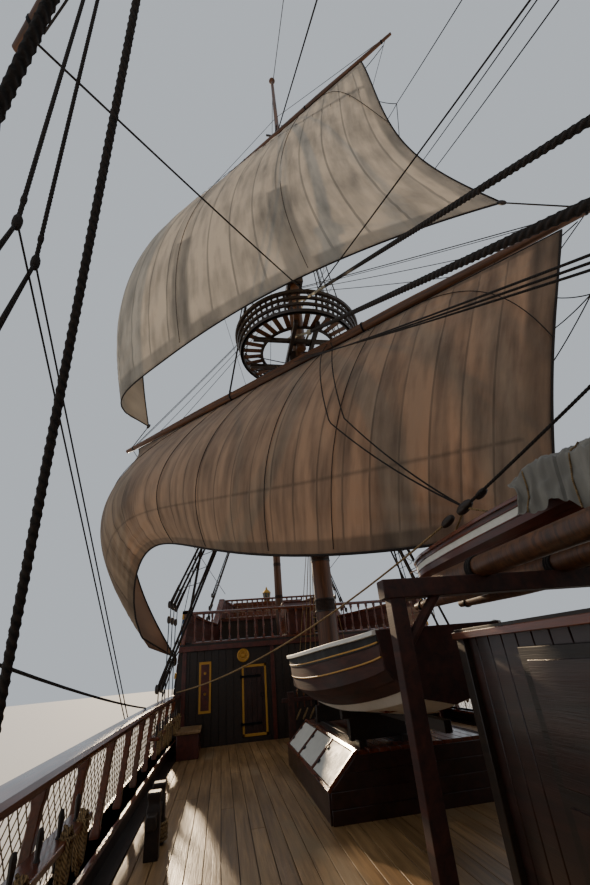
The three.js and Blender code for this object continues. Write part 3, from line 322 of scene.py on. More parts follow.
def sailcloth(name, dark, light, shining, glow):
    """Flax canvas, sewn from narrow cloths. UV holds metres: U across the cloths, V down them."""
    made, tree, face, out = shader(name)
    cloth = node(tree, "ShaderNodeUVMap").outputs[0]
    # A doubled seam of 40 mm shows as a darker line beside each join
    lane = maths(tree, "MULTIPLY", node(tree, "ShaderNodeSeparateXYZ", {0: cloth}).outputs[0], 1 / CLOTH)
    seam = maths(tree, "LESS_THAN", maths(tree, "FRACT", lane), 0.07)
    lot = node(tree, "ShaderNodeTexWhiteNoise", {"W": maths(tree, "FLOOR", lane)}, noise_dimensions="1D")
    streak = node(tree, "ShaderNodeMapping", {"Vector": cloth, "Scale": (2.6, 0.35, 1)}).outputs[0]
    tone = maths(tree, "MULTIPLY_ADD", speckled(tree, cloth, 0.45, 5.0, 0.6), 0.6, speckled(tree, streak, 1.6, 4.0))
    tone = maths(tree, "MULTIPLY_ADD", lot.outputs["Value"], 0.14, tone)
    lined = node(tree, "ShaderNodeAttribute", attribute_name="lining").outputs["Fac"]
    dim = ranged(tree, maths(tree, "MAXIMUM", seam, lined), 0.0, 1.0, 1.0, 0.7)
    tint = scaled(tree, ramp(tree, tone, (0.5, dark), (1.2, light)), dim)
    bump = bumped(tree, speckled(tree, cloth, 60.0, 2.0), 0.2, 0.004)
    bump = bumped(tree, speckled(tree, streak, 1.1, 3.0), 0.35, 0.12, bump)
    bump = bumped(tree, seam, 0.5, 0.006, bump)
    fill(tree, face, {"Base Color": tint, "Roughness": 0.92, "Sheen Weight": 0.15, "Normal": bump})
    deep = node(tree, "ShaderNodeMix", {0: 1.0, 6: tint, 7: colour(shining)}, data_type="RGBA", blend_type="MULTIPLY")
    back = node(tree, "ShaderNodeBsdfTranslucent", {"Color": deep.outputs[2], "Normal": bump})
    both = node(tree, "ShaderNodeMixShader", {0: glow, 1: face.outputs[0], 2: back.outputs[0]})
    fill(tree, out, {"Surface": both.outputs[0]})
    return made


def glass(name, code):
    """A pane seen from outside, with the dark of the room behind it."""
    made, tree, face, _ = shader(name)
    fill(tree, face, {"Base Color": colour(code), "Roughness": 0.08, "Transmission Weight": 0.25})
    return made


# Shapes

class Shape:
    """Collects the faces of one piece. Each face keeps the place of its material in the list."""

    def __init__(self, *materials):
        self.materials, self.points, self.faces, self.slots = materials, [], [], []
        self.uv = {}

    def add(self, points, faces, slot=0, uv=None):
        """Adds a skin, turned round where its faces would point inward."""
        volume = sum(points[f[0]].dot(points[f[i]].cross(points[f[i + 1]]))
                     for f in faces for i in range(1, len(f) - 1))
        start = len(self.points)
        self.points += points
        for face in faces:
            face = face if volume >= 0 else face[::-1]
            if uv:
                self.uv[len(self.faces)] = [uv[i] for i in face]
            self.faces.append([start + i for i in face])
            self.slots.append(slot)

    def block(self, low, high, slot=0, place=None):
        points = [vec(x, y, z) for x in (low[0], high[0]) for y in (low[1], high[1]) for z in (low[2], high[2])]
        if place:
            points = [place @ p for p in points]
        self.add(points, [[0, 1, 3, 2], [4, 6, 7, 5], [0, 4, 5, 1], [2, 3, 7, 6], [0, 2, 6, 4], [1, 5, 7, 3]], slot)

    def post(self, x, y, wide, broad, low, high, slot=0):
        """An upright block that reaches this far from its middle along X and Y."""
        self.block((x - wide, y - broad, low), (x + wide, y + broad, high), slot)

    def loft(self, rings, slot=0, caps=True, uv=None):
        """A skin through rings of points that all hold the same number."""
        count = len(rings[0])
        faces = [[i * count + j, i * count + (j + 1) % count, (i + 1) * count + (j + 1) % count, (i + 1) * count + j]
                 for i in range(len(rings) - 1) for j in range(count)]
        if caps:
            faces += [list(range(count))[::-1], [(len(rings) - 1) * count + j for j in range(count)]]
        self.add([p for ring in rings for p in ring], faces, slot, uv)

    def turned(self, profile, base, axis=UP, sides=24, slot=0):
        """A round body about an axis from (radius, distance) pairs."""
        lift = Vector(UP).rotation_difference(Vector(axis)).to_matrix()
        rings = [[Vector(base) + lift @ polar(max(r, POINTED), a, h) for a in around(sides)] for r, h in profile]
        self.loft(rings, slot, caps=profile[0] != profile[-1])

    def bar(self, a, b, ra, rb=None, sides=12, slot=0):
        a, b = Vector(a), Vector(b)
        self.turned([(ra, 0), (ra if rb is None else rb, (b - a).length)], a, b - a, sides, slot)

    def band(self, base, axis, inner, outer, height, sides=24, slot=0):
        self.turned([(inner, 0), (outer, 0), (outer, height), (inner, height), (inner, 0)], base, axis, sides, slot)

    def piece(self, name, body, hides=(), finish=None, angle=35, bevel=0.0):
        mesh = bpy.data.meshes.new(name)
        mesh.from_pydata(self.points, [], self.faces)
        for made in self.materials:
            mesh.materials.append(made)
        mesh.polygons.foreach_set("material_index", self.slots)
        if self.uv:
            layer = mesh.uv_layers.new(name="UVMap")
            for face, corners in self.uv.items():
                for loop, where in zip(mesh.polygons[face].loop_indices, corners):
                    layer.data[loop].uv = where
        mesh.shade_smooth()
        mesh.set_sharp_from_angle(angle=radians(angle))
        return settle(name, mesh, body, hides, bevel)


def settle(name, data, body=None, hides=(), bevel=0.0):
    """Puts a finished mesh, a light or a camera in the scene, and a piece on the body that carries it."""
    made = bpy.data.objects.new(name, data)
    bpy.context.scene.collection.objects.link(made)
    if bevel:
        soft = made.modifiers.new("Bevel", "BEVEL")
        soft.width, soft.segments, soft.limit_method, soft.angle_limit = bevel, 1, "ANGLE", radians(50)
    if body:
        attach(made, body)
    if hides:
        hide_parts(*hides)
    return made


def evaluated(made):
    """The mesh that an object's modifiers give, with the object and its first mesh taken away."""
    graph = bpy.context.evaluated_depsgraph_get()
    mesh = bpy.data.meshes.new_from_object(made.evaluated_get(graph), preserve_all_data_layers=True, depsgraph=graph)
    old = made.data
    bpy.data.objects.remove(made)
    bpy.data.meshes.remove(old)
    return mesh


def new_tree(name, **inputs):
    """An empty tree of geometry nodes with named inputs, given as (kind, default)."""
    tree = bpy.data.node_groups.new(name, "GeometryNodeTree")
    for way in ("INPUT", "OUTPUT"):
        tree.interface.new_socket("Geometry", in_out=way, socket_type="NodeSocketGeometry")
    for label, (kind, value) in inputs.items():
        made = tree.interface.new_socket(label, in_out="INPUT", socket_type="NodeSocket" + kind)
        if value is not None:
            made.default_value = value
    return tree, node(tree, "NodeGroupInput").outputs, node(tree, "NodeGroupOutput")


def through(made, tree, **values):
    """Runs an object through a tree with these input values, and gives the plain mesh."""
    run = made.modifiers.new("Nodes", "NODES")
    run.node_group = tree
    names = {item.name: item.identifier for item in tree.interface.items_tree if item.in_out == "INPUT"}
    for label, value in values.items():
        run[names[label]] = value
    return evaluated(made)


def named(tree, attribute, kind="FLOAT"):
    return node(tree, "GeometryNodeInputNamedAttribute", {"Name": attribute}, data_type=kind).outputs["Attribute"]


def captured(tree, curve, label, measure):
    """A curve that keeps how far along it each point lies, as its Length or its Factor."""
    made = node(tree, "GeometryNodeCaptureAttribute", {"Geometry": curve.outputs[0]})
    made.capture_items.new("FLOAT", label)
    fill(tree, made, {label: node(tree, "GeometryNodeSplineParameter").outputs[measure]})
    return made


def delivered(tree, given, out, geometry):
    """Ends a tree: its geometry becomes a plain mesh of one material."""
    real = node(tree, "GeometryNodeRealizeInstances", {"Geometry": geometry.outputs[0]})
    done = node(tree, "GeometryNodeSetMaterial", {"Geometry": real.outputs[0], "Material": given["Material"]})
    fill(tree, out, {0: done.outputs[0]})
    return tree


def rope_tree():
    """Edges become ropes as thick as their points say, with strands that stand out where Strand is over 0."""
    tree, given, out = new_tree("Rope", Sides=("Int", 6), Step=("Float", 0.4), Strand=("Float", 0.0),
                                Pitch=("Float", 2.3), Material=("Material", None))
    thick = named(tree, "thick")
    curve = node(tree, "GeometryNodeMeshToCurve", {"Mesh": given["Geometry"]})
    far = captured(tree, node(tree, "GeometryNodeResampleCurve", {"Curve": curve.outputs[0], "Length": given["Step"]},
                              mode="LENGTH"), "Far", "Length")
    about = captured(tree, node(tree, "GeometryNodeCurvePrimitiveCircle", {
        "Resolution": given["Sides"], "Radius": 1.0}), "About", "Factor")
    tube = node(tree, "GeometryNodeCurveToMesh", {
        "Curve": far.outputs[0], "Profile Curve": about.outputs[0], "Scale": thick, "Fill Caps": True})
    laps = maths(tree, "DIVIDE", far.outputs["Far"], maths(tree, "MULTIPLY", thick, given["Pitch"]))
    third = maths(tree, "MULTIPLY", about.outputs["About"], 3.0)
    wave = maths(tree, "SINE", maths(tree, "MULTIPLY", maths(tree, "ADD", third, laps), tau))
    push = maths(tree, "MULTIPLY", wave, maths(tree, "MULTIPLY", thick, given["Strand"]))
    shift = scaled(tree, node(tree, "GeometryNodeInputNormal").outputs[0], push)
    laid = node(tree, "GeometryNodeSetPosition", {"Geometry": tube.outputs[0], "Offset": shift})
    both = node(tree, "ShaderNodeCombineXYZ", {0: third, 1: laps})
    kept = node(tree, "GeometryNodeStoreNamedAttribute", {
        "Geometry": laid.outputs[0], "Name": "lay", "Value": both.outputs[0]}, data_type="FLOAT_VECTOR",
        domain="POINT")
    return delivered(tree, given, out, node(tree, "GeometryNodeSetShadeSmooth", {"Geometry": kept.outputs[0]}))


def scatter_tree():
    """Puts a copy of one shape on each point, turned and sized by the point's own values."""
    tree, given, out = new_tree("Scatter", Shape=("Object", None), Material=("Material", None))
    shape = node(tree, "GeometryNodeObjectInfo", {"Object": given["Shape"]}, transform_space="ORIGINAL")
    turn = node(tree, "FunctionNodeEulerToRotation", {0: named(tree, "turn", "FLOAT_VECTOR")})
    return delivered(tree, given, out, node(tree, "GeometryNodeInstanceOnPoints", {
        "Points": given["Geometry"], "Instance": shape.outputs["Geometry"], "Rotation": turn.outputs[0],
        "Scale": named(tree, "size", "FLOAT_VECTOR")}))


ROPE, SCATTER = rope_tree(), scatter_tree()


def carrier(points, edges=(), **values):
    """An unseen object whose points carry named values into a tree."""
    mesh = bpy.data.meshes.new("carrier")
    mesh.from_pydata(points, edges, [])
    for key, (kind, field, flat) in values.items():
        mesh.attributes.new(key, kind, "POINT").data.foreach_set(field, flat)
    return settle("carrier", mesh)


def line(*points, sag=0.0, count=1):
    """A rope's path through points, hanging a little between each two by sag times their distance."""
    points = [Vector(p) for p in points]
    path = [points[0]]
    for a, b in zip(points, points[1:]):
        parts = count if sag else 1
        for k in range(1, parts + 1):
            t = k / parts
            path.append(a.lerp(b, t) - vec(0, 0, 4 * sag * t * (1 - t) * (b - a).length))
    return path


def ropes(name, lines, stuff, body, sides=6, step=0.5, strand=0.0, hides=()):
    """One piece of many ropes, from (path, radius) pairs."""
    points, edges, thick = [], [], []
    if strand:
        step = min(radius for _, radius in lines) * 0.6
    for path, radius in lines:
        start = len(points)
        points += path
        edges += [(start + i, start + i + 1) for i in range(len(path) - 1)]
        thick += [radius] * len(path)
    made = carrier(points, edges, thick=("FLOAT", "value", thick))
    mesh = through(made, ROPE, Sides=sides, Step=step, Strand=strand, Material=stuff)
    return settle(name, mesh, body, hides)


def scatter(name, shape, places, stuff, body):
    """One piece of many copies of a shape, from (place, turn, size) rows. The shape's own object is taken away."""
    pattern = shape.piece(name + "_pattern", body)
    flat = lambda k: [c for row in places for c in row[k]]
    made = carrier([row[0] for row in places], turn=("FLOAT_VECTOR", "vector", flat(1)),
                   size=("FLOAT_VECTOR", "vector", flat(2)))
    mesh = through(made, SCATTER, Shape=pattern, Material=stuff)
    bpy.data.objects.remove(pattern)
    return settle(name, mesh, body)


# Finishes, each named for what the real one is

PINE = wood("oiled pine spar", "#2b180c", "#6f4322", 0.55, turn=(0, radians(90), 0), figure=7, coat=0.15)
YARD_PINE = wood("oiled pine yard", "#2b180c", "#6f4322", 0.55, turn=(0, 0, radians(-45)), figure=7, coat=0.15)
LONG_PINE = wood("oiled pine laid fore and aft", "#4a2b14", "#9a6536", 0.5, figure=7, coat=0.2)
MAHOGANY = wood("varnished mahogany rail", "#3a1608", "#7c3717", 0.28, coat=0.6, figure=6, worn="#5d3620")
LARCH = wood("scrubbed larch deck", "#6e5030", "#b48d5e", 0.42, figure=8, boards=0.32, worn="#8d7352")
OAK = wood("tarred oak plank", "#140d08", "#33200f", 0.5, figure=6, boards=0.25, coat=0.1)
BROWN_OAK = wood("oiled oak plank", "#3a2210", "#7b4d27", 0.5, figure=6, boards=0.3, coat=0.15)
RED_BROWN = wood("red-brown painted plank", "#34130b", "#632617", 0.42, figure=3, boards=0.12, coat=0.2, relief=0.12)
DARK_RED = wood("dark red oiled plank", "#22100a", "#4f2415", 0.72, figure=4, boards=0.15)
BLACK = plain("pitch black paint", "#12100f", 0.7)
OCHRE = plain("ochre oil paint", "#b9862a", 0.5, coat=0.1)
BLUE = plain("blue oil paint", "#1f4a78", 0.5, coat=0.1)
STAINED = wood("dark stained board", "#1a0d09", "#3d1d14", 0.4, figure=4, boards=0.2, coat=0.25)
WHITE = plain("white lead paint", "#d8d4c8", 0.5, speckle=0.08)
TALLOW = plain("white underwater coat", "#b8b09c", 0.8, speckle=0.18, scale=2.0)
IRON = plain("forged iron", "#1b1b1d", 0.5, metal=0.85, relief=0.4)
BRASS = plain("aged brass", "#a8803a", 0.35, metal=1.0)
TARRED = hemp("tarred hemp rope", "#0e0a07", "#2b2018")
MANILA = hemp("manila rope", "#4f3a22", "#a98a5c")
SERVED = hemp("served and painted rope", "#57503f", "#b0a78f")
STOWED = sailcloth("furled flax sailcloth", "#9c8a6c", "#d8c9a8", "#ffe0b0", 0.12)
COVER = sailcloth("grey canvas boat cover", "#54514b", "#938e83", "#ffffff", 0.06)
GLASS = glass("old window glass", "#26343a")


# Sails: head, clews, belly, leech, hollow, lift and cloth, in the yards' own frame

SAILS = {
    "main_course": dict(
        swing=-1.2, head=((0.5, -7.3, 10.6464), (0.5, 7.2, 10.6464)), clews=((-0.7, -6.08, 3.35), (1.5, 5.2, 4.5)),
        belly=2.3, leech=(1.0, 0.1), hollow=(0, 0.1), lift=4.4, body="main_yards", yard="main_yard", border=0.035,
        drops=(0.3, 0.42, 0.58, 0.7), cloth=("tanned flax sailcloth", "#746355", "#ffecd8")),
    "main_topsail": dict(
        swing=-0.77, head=((0.34, -4.2, 22.6887), (0.34, 4.2, 22.6887)),
        clews=((-0.25, -7.8, 11.9), (0.34, 6.15, 12.15)), belly=2.05, leech=(1.35, 0), hollow=(0, 0.7), lift=0,
        body="main_topsail_yards", yard="main_topsail_yard", border=0.03, drops=(0.33, 0.67),
        cloth=("sun-bleached flax sailcloth", "#a09a90", "#f6eee2")),
}


def sail_point(spec, u, v):
    """A place on a sail before it is braced: u from starboard to port, v from the head to the foot."""
    full, edge = 1 - (1 - v) ** 2.4, sin(pi * v ** 1.25)
    head, clews = [Vector(p) for p in spec["head"]], [Vector(p) for p in spec["clews"]]
    at = head[0].lerp(head[1], u).lerp(clews[0].lerp(clews[1], u), v)
    at.x += (spec["belly"] * full * (1 - abs(2 * u ** 0.5 - 1) ** 3)
             + mix(*spec["leech"], u ** 0.6) * edge)
    at.y += mix(spec["hollow"][0], -spec["hollow"][1], u) * edge
    at.z += spec["lift"] * (1 - u) ** 2 * (1 - (1 - u) ** 8) * v ** 2
    return at


def braced(spec, at):
    return Matrix.Rotation(BRACE, 3, "Z") @ at + vec(spec["swing"], 0, 0)


def on_sail(spec, u, v, off=0.0):
    """A place on a braced sail, off it by some metres on its fore side."""
    across = sail_point(spec, min(u + 0.01, 1), v) - sail_point(spec, max(u - 0.01, 0), v)
    down = sail_point(spec, u, min(v + 0.01, 1)) - sail_point(spec, u, max(v - 0.01, 0))
    return braced(spec, sail_point(spec, u, v) - across.cross(down).normalized() * off)


def lining(name, u, v):
    """Whether the cloth is doubled here: the hems, and the sail's own bands."""
    border = SAILS[name]["border"]
    if u < border or u > 1 - border or v < 0.03 or v > 0.955:
        return True
    if name == "main_course":
        return abs(v - 0.76) < 0.01
    return abs(v - 0.17) < 0.012 or (0.62 < v and min(abs(u - 0.34), abs(u - 0.66)) < 0.03)


def grid(rows, columns):
    """The faces between rows and columns of points."""
    wide = columns + 1
    return [[i * wide + j, (i + 1) * wide + j, (i + 1) * wide + j + 1, i * wide + j + 1]
            for i in range(rows) for j in range(columns)]


def set_sail(name, light, thickness):
    """One sail as a thin sheet: creases run out from its corners, and the cloths keep their width at the head."""
    spec = SAILS[name]
    columns, rows = 120, 96
    label, dark, shining = spec["cloth"]
    sheet = Shape(sailcloth(label, dark, light, shining, 0.5))
    wide = (Vector(spec["head"][1]) - Vector(spec["head"][0])).length
    points, uv, lined, down = [], [], [], [0.0] * (columns + 1)
    for i in range(rows + 1):
        for j in range(columns + 1):
            u, v = j / columns, i / rows
            inside = min(u, 1 - u, v * 1.2, (1 - v) * 1.2)
            pull = sum(exp(-3.5 * hypot((u - a) * 1.3, v - b)) * sin(26 * atan2(v - b + 0.03, (u - a) * 1.3 + 0.03))
                       for a, b in ((0, 1), (1, 1), (0, 0), (1, 0)))
            scallop = 0.035 * sin(wide / CLOTH * tau * u) * exp(-9 * v)
            ripple = 0.05 * noise.noise(vec(u * 7, v * 2.2, len(name))) + 0.03 * pull
            at = on_sail(spec, u, v, (ripple + scallop) * clamp(inside * 12))
            if i:
                down[j] += (at - points[-columns - 1]).length
            points.append(at)
            uv.append((u * wide, down[j]))
            lined.append(float(lining(name, u, v)))
    faces = grid(rows, columns)
    sheet.points, sheet.faces, sheet.slots = points, faces, [0] * len(faces)
    sheet.uv = {k: [uv[c] for c in face] for k, face in enumerate(faces)}
    made = sheet.piece(name + "_cloth", spec["body"], [name], "sail_canvas", angle=180)
    made.data.attributes.new("lining", "FLOAT", "POINT").data.foreach_set("value", lined)
    thick = made.modifiers.new("Solidify", "SOLIDIFY")
    thick.thickness, thick.offset = thickness, 0.0
    area, drop = sum(p.area for p in made.data.polygons), max(down)
    broad = max((points[i * (columns + 1) + columns] - points[i * (columns + 1)]).length for i in range(0, rows + 1, 8))
    broad = max(broad, area / drop * 1.02)
    return made


# Masts and yards

RIG = {
    "main": dict(at=MAIN, deck=WAIST, floor=11.56, rim=12.25, head=14.3, foot=0.235, neck=0.195, top_head=28.4,
                 hounds=23.45, size=1.0),
    "fore": dict(at=FORE, deck=FORECASTLE + 0.0403, floor=10.65, rim=11.38, head=13.1, foot=0.205, neck=0.175,
                 top_head=23.6, hounds=19.6, size=0.88),
}
AHEAD, TOPMAST = 0.43, 0.15
TOP = dict(inside=1.12, floor=1.82, rim=1.96)


def mast_radius(rig, z):
    """A lower mast's radius at a level."""
    if z < rig["floor"]:
        return mix(rig["foot"], rig["neck"], clamp((z - rig["deck"] - 0.2) / (rig["floor"] - rig["deck"] - 0.2)))
    return mix(rig["neck"], rig["neck"] - 0.035, (z - rig["floor"]) / (rig["head"] - rig["floor"]))


def topmast_radius(rig, z):
    return TOPMAST * mix(1, 0.72, clamp((z - rig["head"] - 0.3) / (rig["hounds"] - rig["head"] - 0.3)))


def wound(made, at, radius, low, turns, rope, sides, slot):
    """Winds a rope round a spar, and tells how high its top lies."""
    coil = [(radius + rope * sin(pi * k / 4) if k % 4 else radius + 0.002, low + rope * 2 * (t + k / 4))
            for t in range(turns) for k in range(5)]
    made.turned([(0, low)] + coil + [(0, coil[-1][1])], at, sides=sides, slot=slot)
    return coil[-1][1]


def lower_mast(key, sides):
    """Mast with its foot wedges, wound rope bands, cheeks, trestle and cross trees and cap."""
    rig = RIG[key]
    at, floor, head, deck = rig["at"], rig["floor"], rig["head"], rig["deck"]
    made = Shape(PINE, TARRED, IRON, OAK)
    levels = [deck + GAP, deck + 0.2] + steps(deck + 0.4, head, 16)
    made.turned([(0, levels[0])] + [(mast_radius(rig, z), z) for z in levels] + [(0, head)], at, sides=sides)
    made.turned([(0, deck + GAP), (rig["foot"] + 0.06, deck + GAP), (rig["foot"] + 0.055, deck + 0.11),
                 (rig["foot"] + 0.02, deck + 0.16), (0, deck + 0.16)], at, sides=16, slot=3)
    for z in steps(deck + 1.5, floor - 1.9, 6):
        top = wound(made, at, mast_radius(rig, z) - 0.004, z, 8, 0.014, 24, 1)
        for edge in (z - 0.035, top):
            made.band(at + vec(0, 0, edge), UP, rig["neck"] - 0.03, mast_radius(rig, edge) + 0.014, 0.035, slot=3)
    for hand in HANDS:
        made.block((at.x - 1.11, hand * 0.325 - 0.055, floor - 0.17), (at.x + 1.48, hand * 0.325 + 0.055, floor), 3)
        low, high = sorted((hand * (rig["neck"] - 0.06), hand * 0.325))
        made.block((at.x - 0.17, low, floor - 0.6), (at.x + 0.17, high, floor - 0.02), 3)
    for x in (-0.62, 0.65):
        made.post(at.x + x, 0, 0.06, 1.48, floor - 0.11, floor, 3)
    hole, front = at.x + AHEAD, at.x + AHEAD + 0.27
    made.post(at.x, 0, 0.26, 0.25, head - 0.24, head, 3)
    for hand in HANDS:
        a, b = sorted((hand * 0.165, hand * 0.25))
        made.block((at.x + 0.26, a, head - 0.24), (front, b, head), 3)
    made.block((hole + 0.165, -0.165, head - 0.24), (front, 0.165, head), 3)
    for z in (head - 0.23, head - 0.05):
        made.band(vec(at.x, 0, z), UP, 0.1, mast_radius(rig, head) + 0.012, 0.04, slot=2)
    made.piece(key + "_lower_mast_wood", "ship", [key + "_lower_mast"], "oiled_spar", bevel=0.006)


def top_mast(key, sides):
    """Topmast with its fid, the trees under the hounds and the button at its head."""
    rig = RIG[key]
    at = rig["at"] + vec(AHEAD, 0, 0)
    floor, head, hounds, tip = rig["floor"], rig["head"], rig["hounds"], rig["top_head"]
    made = Shape(PINE, OAK, TARRED, IRON)
    levels = steps(head + 0.3, hounds, 8)
    made.turned([(0, floor - 0.17), (TOPMAST, floor - 0.17), (TOPMAST, head + 0.3)]
                + [(topmast_radius(rig, z), z) for z in levels[1:]]
                + [(0.1, hounds + 0.1), (0.07, tip - 0.06), (0.11, tip - 0.05), (0.15, tip), (0.12, tip + 0.09),
                   (0.05, tip + 0.11), (0, tip + 0.11)], at, sides=sides)
    made.post(at.x, 0, 0.055, 0.365, floor + GAP, floor + 0.11, 3)
    made.band(at + vec(0, 0, head + GAP), UP, 0.13, 0.19, 0.07, slot=3)
    for hand in HANDS:
        made.post(at.x, hand * 0.12, 0.42, 0.03, hounds - 0.09, hounds, 1)
    made.block((at.x - 0.06, -0.52, hounds - 0.08), (at.x, 0.52, hounds + 0.01), 1)
    made.post(at.x, 0, 0.18, 0.15, hounds - 0.09, hounds - 0.02, 1)
    for z in (head + 2.2, head + 4.6):
        wound(made, at, topmast_radius(rig, z) - 0.004, z, 6, 0.01, 20, 2)
    made.piece(key + "_topmast_wood", "ship", [key + "_topmast"], "oiled_spar", bevel=0.005)


MIZZEN_FOOT = quarterdeck(MIZZEN.x - 0.215)


def mizzen_radius(z):
    z -= MIZZEN_FOOT
    return mix(0.165, 0.15, z / 9) if z < 9 else mix(0.15, 0.07, (z - 9) / 4.7)


def mizzen_mast():
    """Pole mast with its wedges, collar cleats and wound rope bands."""
    made, foot = Shape(PINE, TARRED, OAK), MIZZEN_FOOT
    made.turned([(0, foot + GAP)] + [(mizzen_radius(foot + z), foot + z) for z in steps(GAP, 13.7, 18)]
                + [(0.13, foot + 13.76), (0.11, foot + 13.85), (0, foot + 13.88)], MIZZEN, sides=28)
    made.turned([(0, foot + GAP), (0.215, foot + GAP), (0.21, foot + 0.12), (0, foot + 0.14)], MIZZEN, sides=16, slot=2)
    made.post(MIZZEN.x, 0, 0.26, 0.26, 12.7, 12.83, 2)
    for z in steps(foot + 1.6, 12.0, 5):
        wound(made, MIZZEN, mizzen_radius(z) - 0.004, z, 6, 0.011, 20, 1)
    made.piece("mizzen_mast_wood", "ship", ["mizzen_mast"], "oiled_spar", bevel=0.005)


def top_wall(key):
    """Round top: floor planks, a flaring wall of narrow upright slats, and five hoops that hold them."""
    rig = RIG[key]
    at, low, high, size = rig["at"], rig["floor"] + GAP, rig["rim"], rig["size"]
    inside = TOP["inside"] if key == "main" else 1.01
    out = lambda z: mix(TOP["floor"], TOP["rim"], (z - low) / (high - low)) * size
    made = Shape(OAK, PINE)
    for a, b in ((inside, inside + 0.09), (out(low) - 0.1, out(low))):
        made.turned([(a, low), (b, low), (b - 0.004, low + 0.05), (a, low + 0.05), (a, low)], at, sides=48)
    for a, b, proud in ((0.0, 0.13, 0.012), (0.33, 0.43, 0.01), (0.62, 0.72, 0.01), (0.88, 1.0, 0.03)):
        z0, z1 = mix(low, high, a), mix(low, high, b)
        made.turned([(out(z0) - 0.06, z0), (out(z0) + proud, z0), (out(z1) + proud, z1), (out(z1) - 0.06, z1),
                     (out(z0) - 0.06, z0)], at, sides=64)
    for a in around(32):
        made.block((inside + 0.02, -0.075, low + 0.05), (out(low) - 0.03, 0.075, low + 0.075), 1,
                   Matrix.Translation(at) @ Matrix.Rotation(a, 4, "Z"))
    made.piece(key + "_top_hoops", "ship", [key + "_top"], "oiled_spar", angle=40)
    slat = Shape(OAK)
    tilt = atan2((TOP["rim"] - TOP["floor"]) * size, high - low)
    slat.loft([[vec(x, y, z) for x, y in corners(0, 0.022, -0.03, 0.03)] for z in (0.02, 1.0)])
    places = [(at + polar(out(low) - 0.045, a, low), Euler((0, tilt, a)),
               (1, 1.1 * size, (high - low) * 0.99 / cos(tilt)))
              for a in around(64, 0.03) if abs((a + pi) % tau - pi) > 0.07]
    scatter(key + "_top_slats", slat, places, OAK, "ship")


YARDS = {
    "main_yard": dict(swing=-1.2, half=8.1, middle=0.15, end=0.07, z=10.8, ahead=0.5, mast=0.198, body="main_yards"),
    "main_topsail_yard": dict(swing=-0.77, half=5.45, middle=0.11, end=0.05, z=22.8, ahead=0.34, mast=0.112,
                              body="main_topsail_yards"),
    "fore_yard": dict(swing=10.5, half=6.6, middle=0.135, end=0.065, z=10.1, ahead=0.46, mast=0.177, body="fore_yards"),
    "fore_topsail_yard": dict(swing=10.93, half=4.5, middle=0.095, end=0.045, z=18.96, ahead=0.32, mast=0.113,
                              body="fore_topsail_yards"),
}


def yard_place(spec):
    """Takes a place in a yard's own frame to where the braced yard holds it."""
    return Matrix.Translation((spec["swing"], 0, spec["z"])) @ Matrix.Rotation(BRACE, 4, "Z")


def yard_girth(spec, y):
    """How thick a yard is at a distance from its middle."""
    return mix(spec["middle"], spec["end"], clamp((abs(y) / spec["half"] - 0.45) / 0.55))


def yard(name):
    """Yard with an eight-sided middle, arm cleats, iron bands and the rope and ribs that hold it to the mast."""
    spec = YARDS[name]
    half, middle, ahead = (spec[k] for k in ("half", "middle", "ahead"))
    place = yard_place(spec)
    made = Shape(YARD_PINE, IRON, TARRED, OAK)
    rings = []
    for y in [-half, -half + 0.02, *steps(-half + 0.3, half - 0.3, 28), half - 0.02, half]:
        r = yard_girth(spec, y) * (0.6 if abs(y) == half else 1)
        flat = 1 - clamp((abs(y) / half - 0.3) / 0.12)
        rings.append([place @ vec(ahead + q * cos(a), y, q * sin(a)) for a in around(24, pi / 8)
                      for q in [r * mix(1, 0.924 / cos((a - pi / 8) % (pi / 4) - pi / 8), flat)]])
    made.loft(rings)
    axis = place.to_3x3() @ vec(0, 1, 0)
    for y in (-half + 0.42, half - 0.42, -half * 0.3, half * 0.3):
        r = yard_girth(spec, y)
        made.band(place @ vec(ahead, y, 0), axis, r * 0.8, r + 0.012, 0.05, slot=1)
    r = spec["mast"] + 0.0005
    base = vec(spec["swing"], 0, spec["z"])
    for z in (-0.045, -0.012, 0.021):
        made.band(base + vec(0, 0, z), UP, r + 0.004, r + 0.038, 0.026, slot=2, sides=32)
    for a in around(10, 0.3):
        made.turned([(0, -0.055), (0.014, -0.05), (0.014, 0.05), (0, 0.055)], base + polar(r + 0.03, a), sides=8,
                    slot=3)
    made.block((spec["mast"] + 0.025, -0.06, -0.045), (ahead - middle * 0.6, 0.06, 0.045), 3, place)
    made.piece(name + "_wood", spec["body"], [name], "oiled_spar", bevel=0.003)
    # Robands tie the head of the sail to the yard, and footropes hang in stirrups under it
    lines = []
    reach = {"main_yard": 7.1, "main_topsail_yard": 4.1}.get(name)
    if reach:
        for y in steps(-reach, reach, int(reach * 2 / ROBAND)):
            r = yard_girth(spec, y) + 0.008
            lines.append(([place @ vec(ahead + r * cos(a), y, r * sin(a)) for a in around(9)]
                          + [place @ vec(ahead + r, y, 0)], 0.008))
    for hand in HANDS:
        knots = [hand * half * f for f in (0.05, 0.28, 0.5, 0.72, 0.93)]
        low = [place @ vec(ahead - 0.12, y, -0.62 if 0 < k < 4 else -0.05) for k, y in enumerate(knots)]
        lines.append((line(*low, sag=0.035, count=6), 0.014))
        for y, foot in list(zip(knots, low))[1:4]:
            lines.append((line(place @ vec(ahead - 0.02, y, -middle * 0.7), foot), 0.01))
    ropes(name + "_footropes", lines, TARRED, spec["body"], sides=5)


LATEEN_LEVEL = 10.4


def lateen_frame():
    """The mizzen yard's own frame: its length runs along local Z, lower end first."""
    return Matrix.Translation((MIZZEN.x, 0, LATEEN_LEVEL)) @ Matrix.Rotation(radians(-42), 4, "Y")


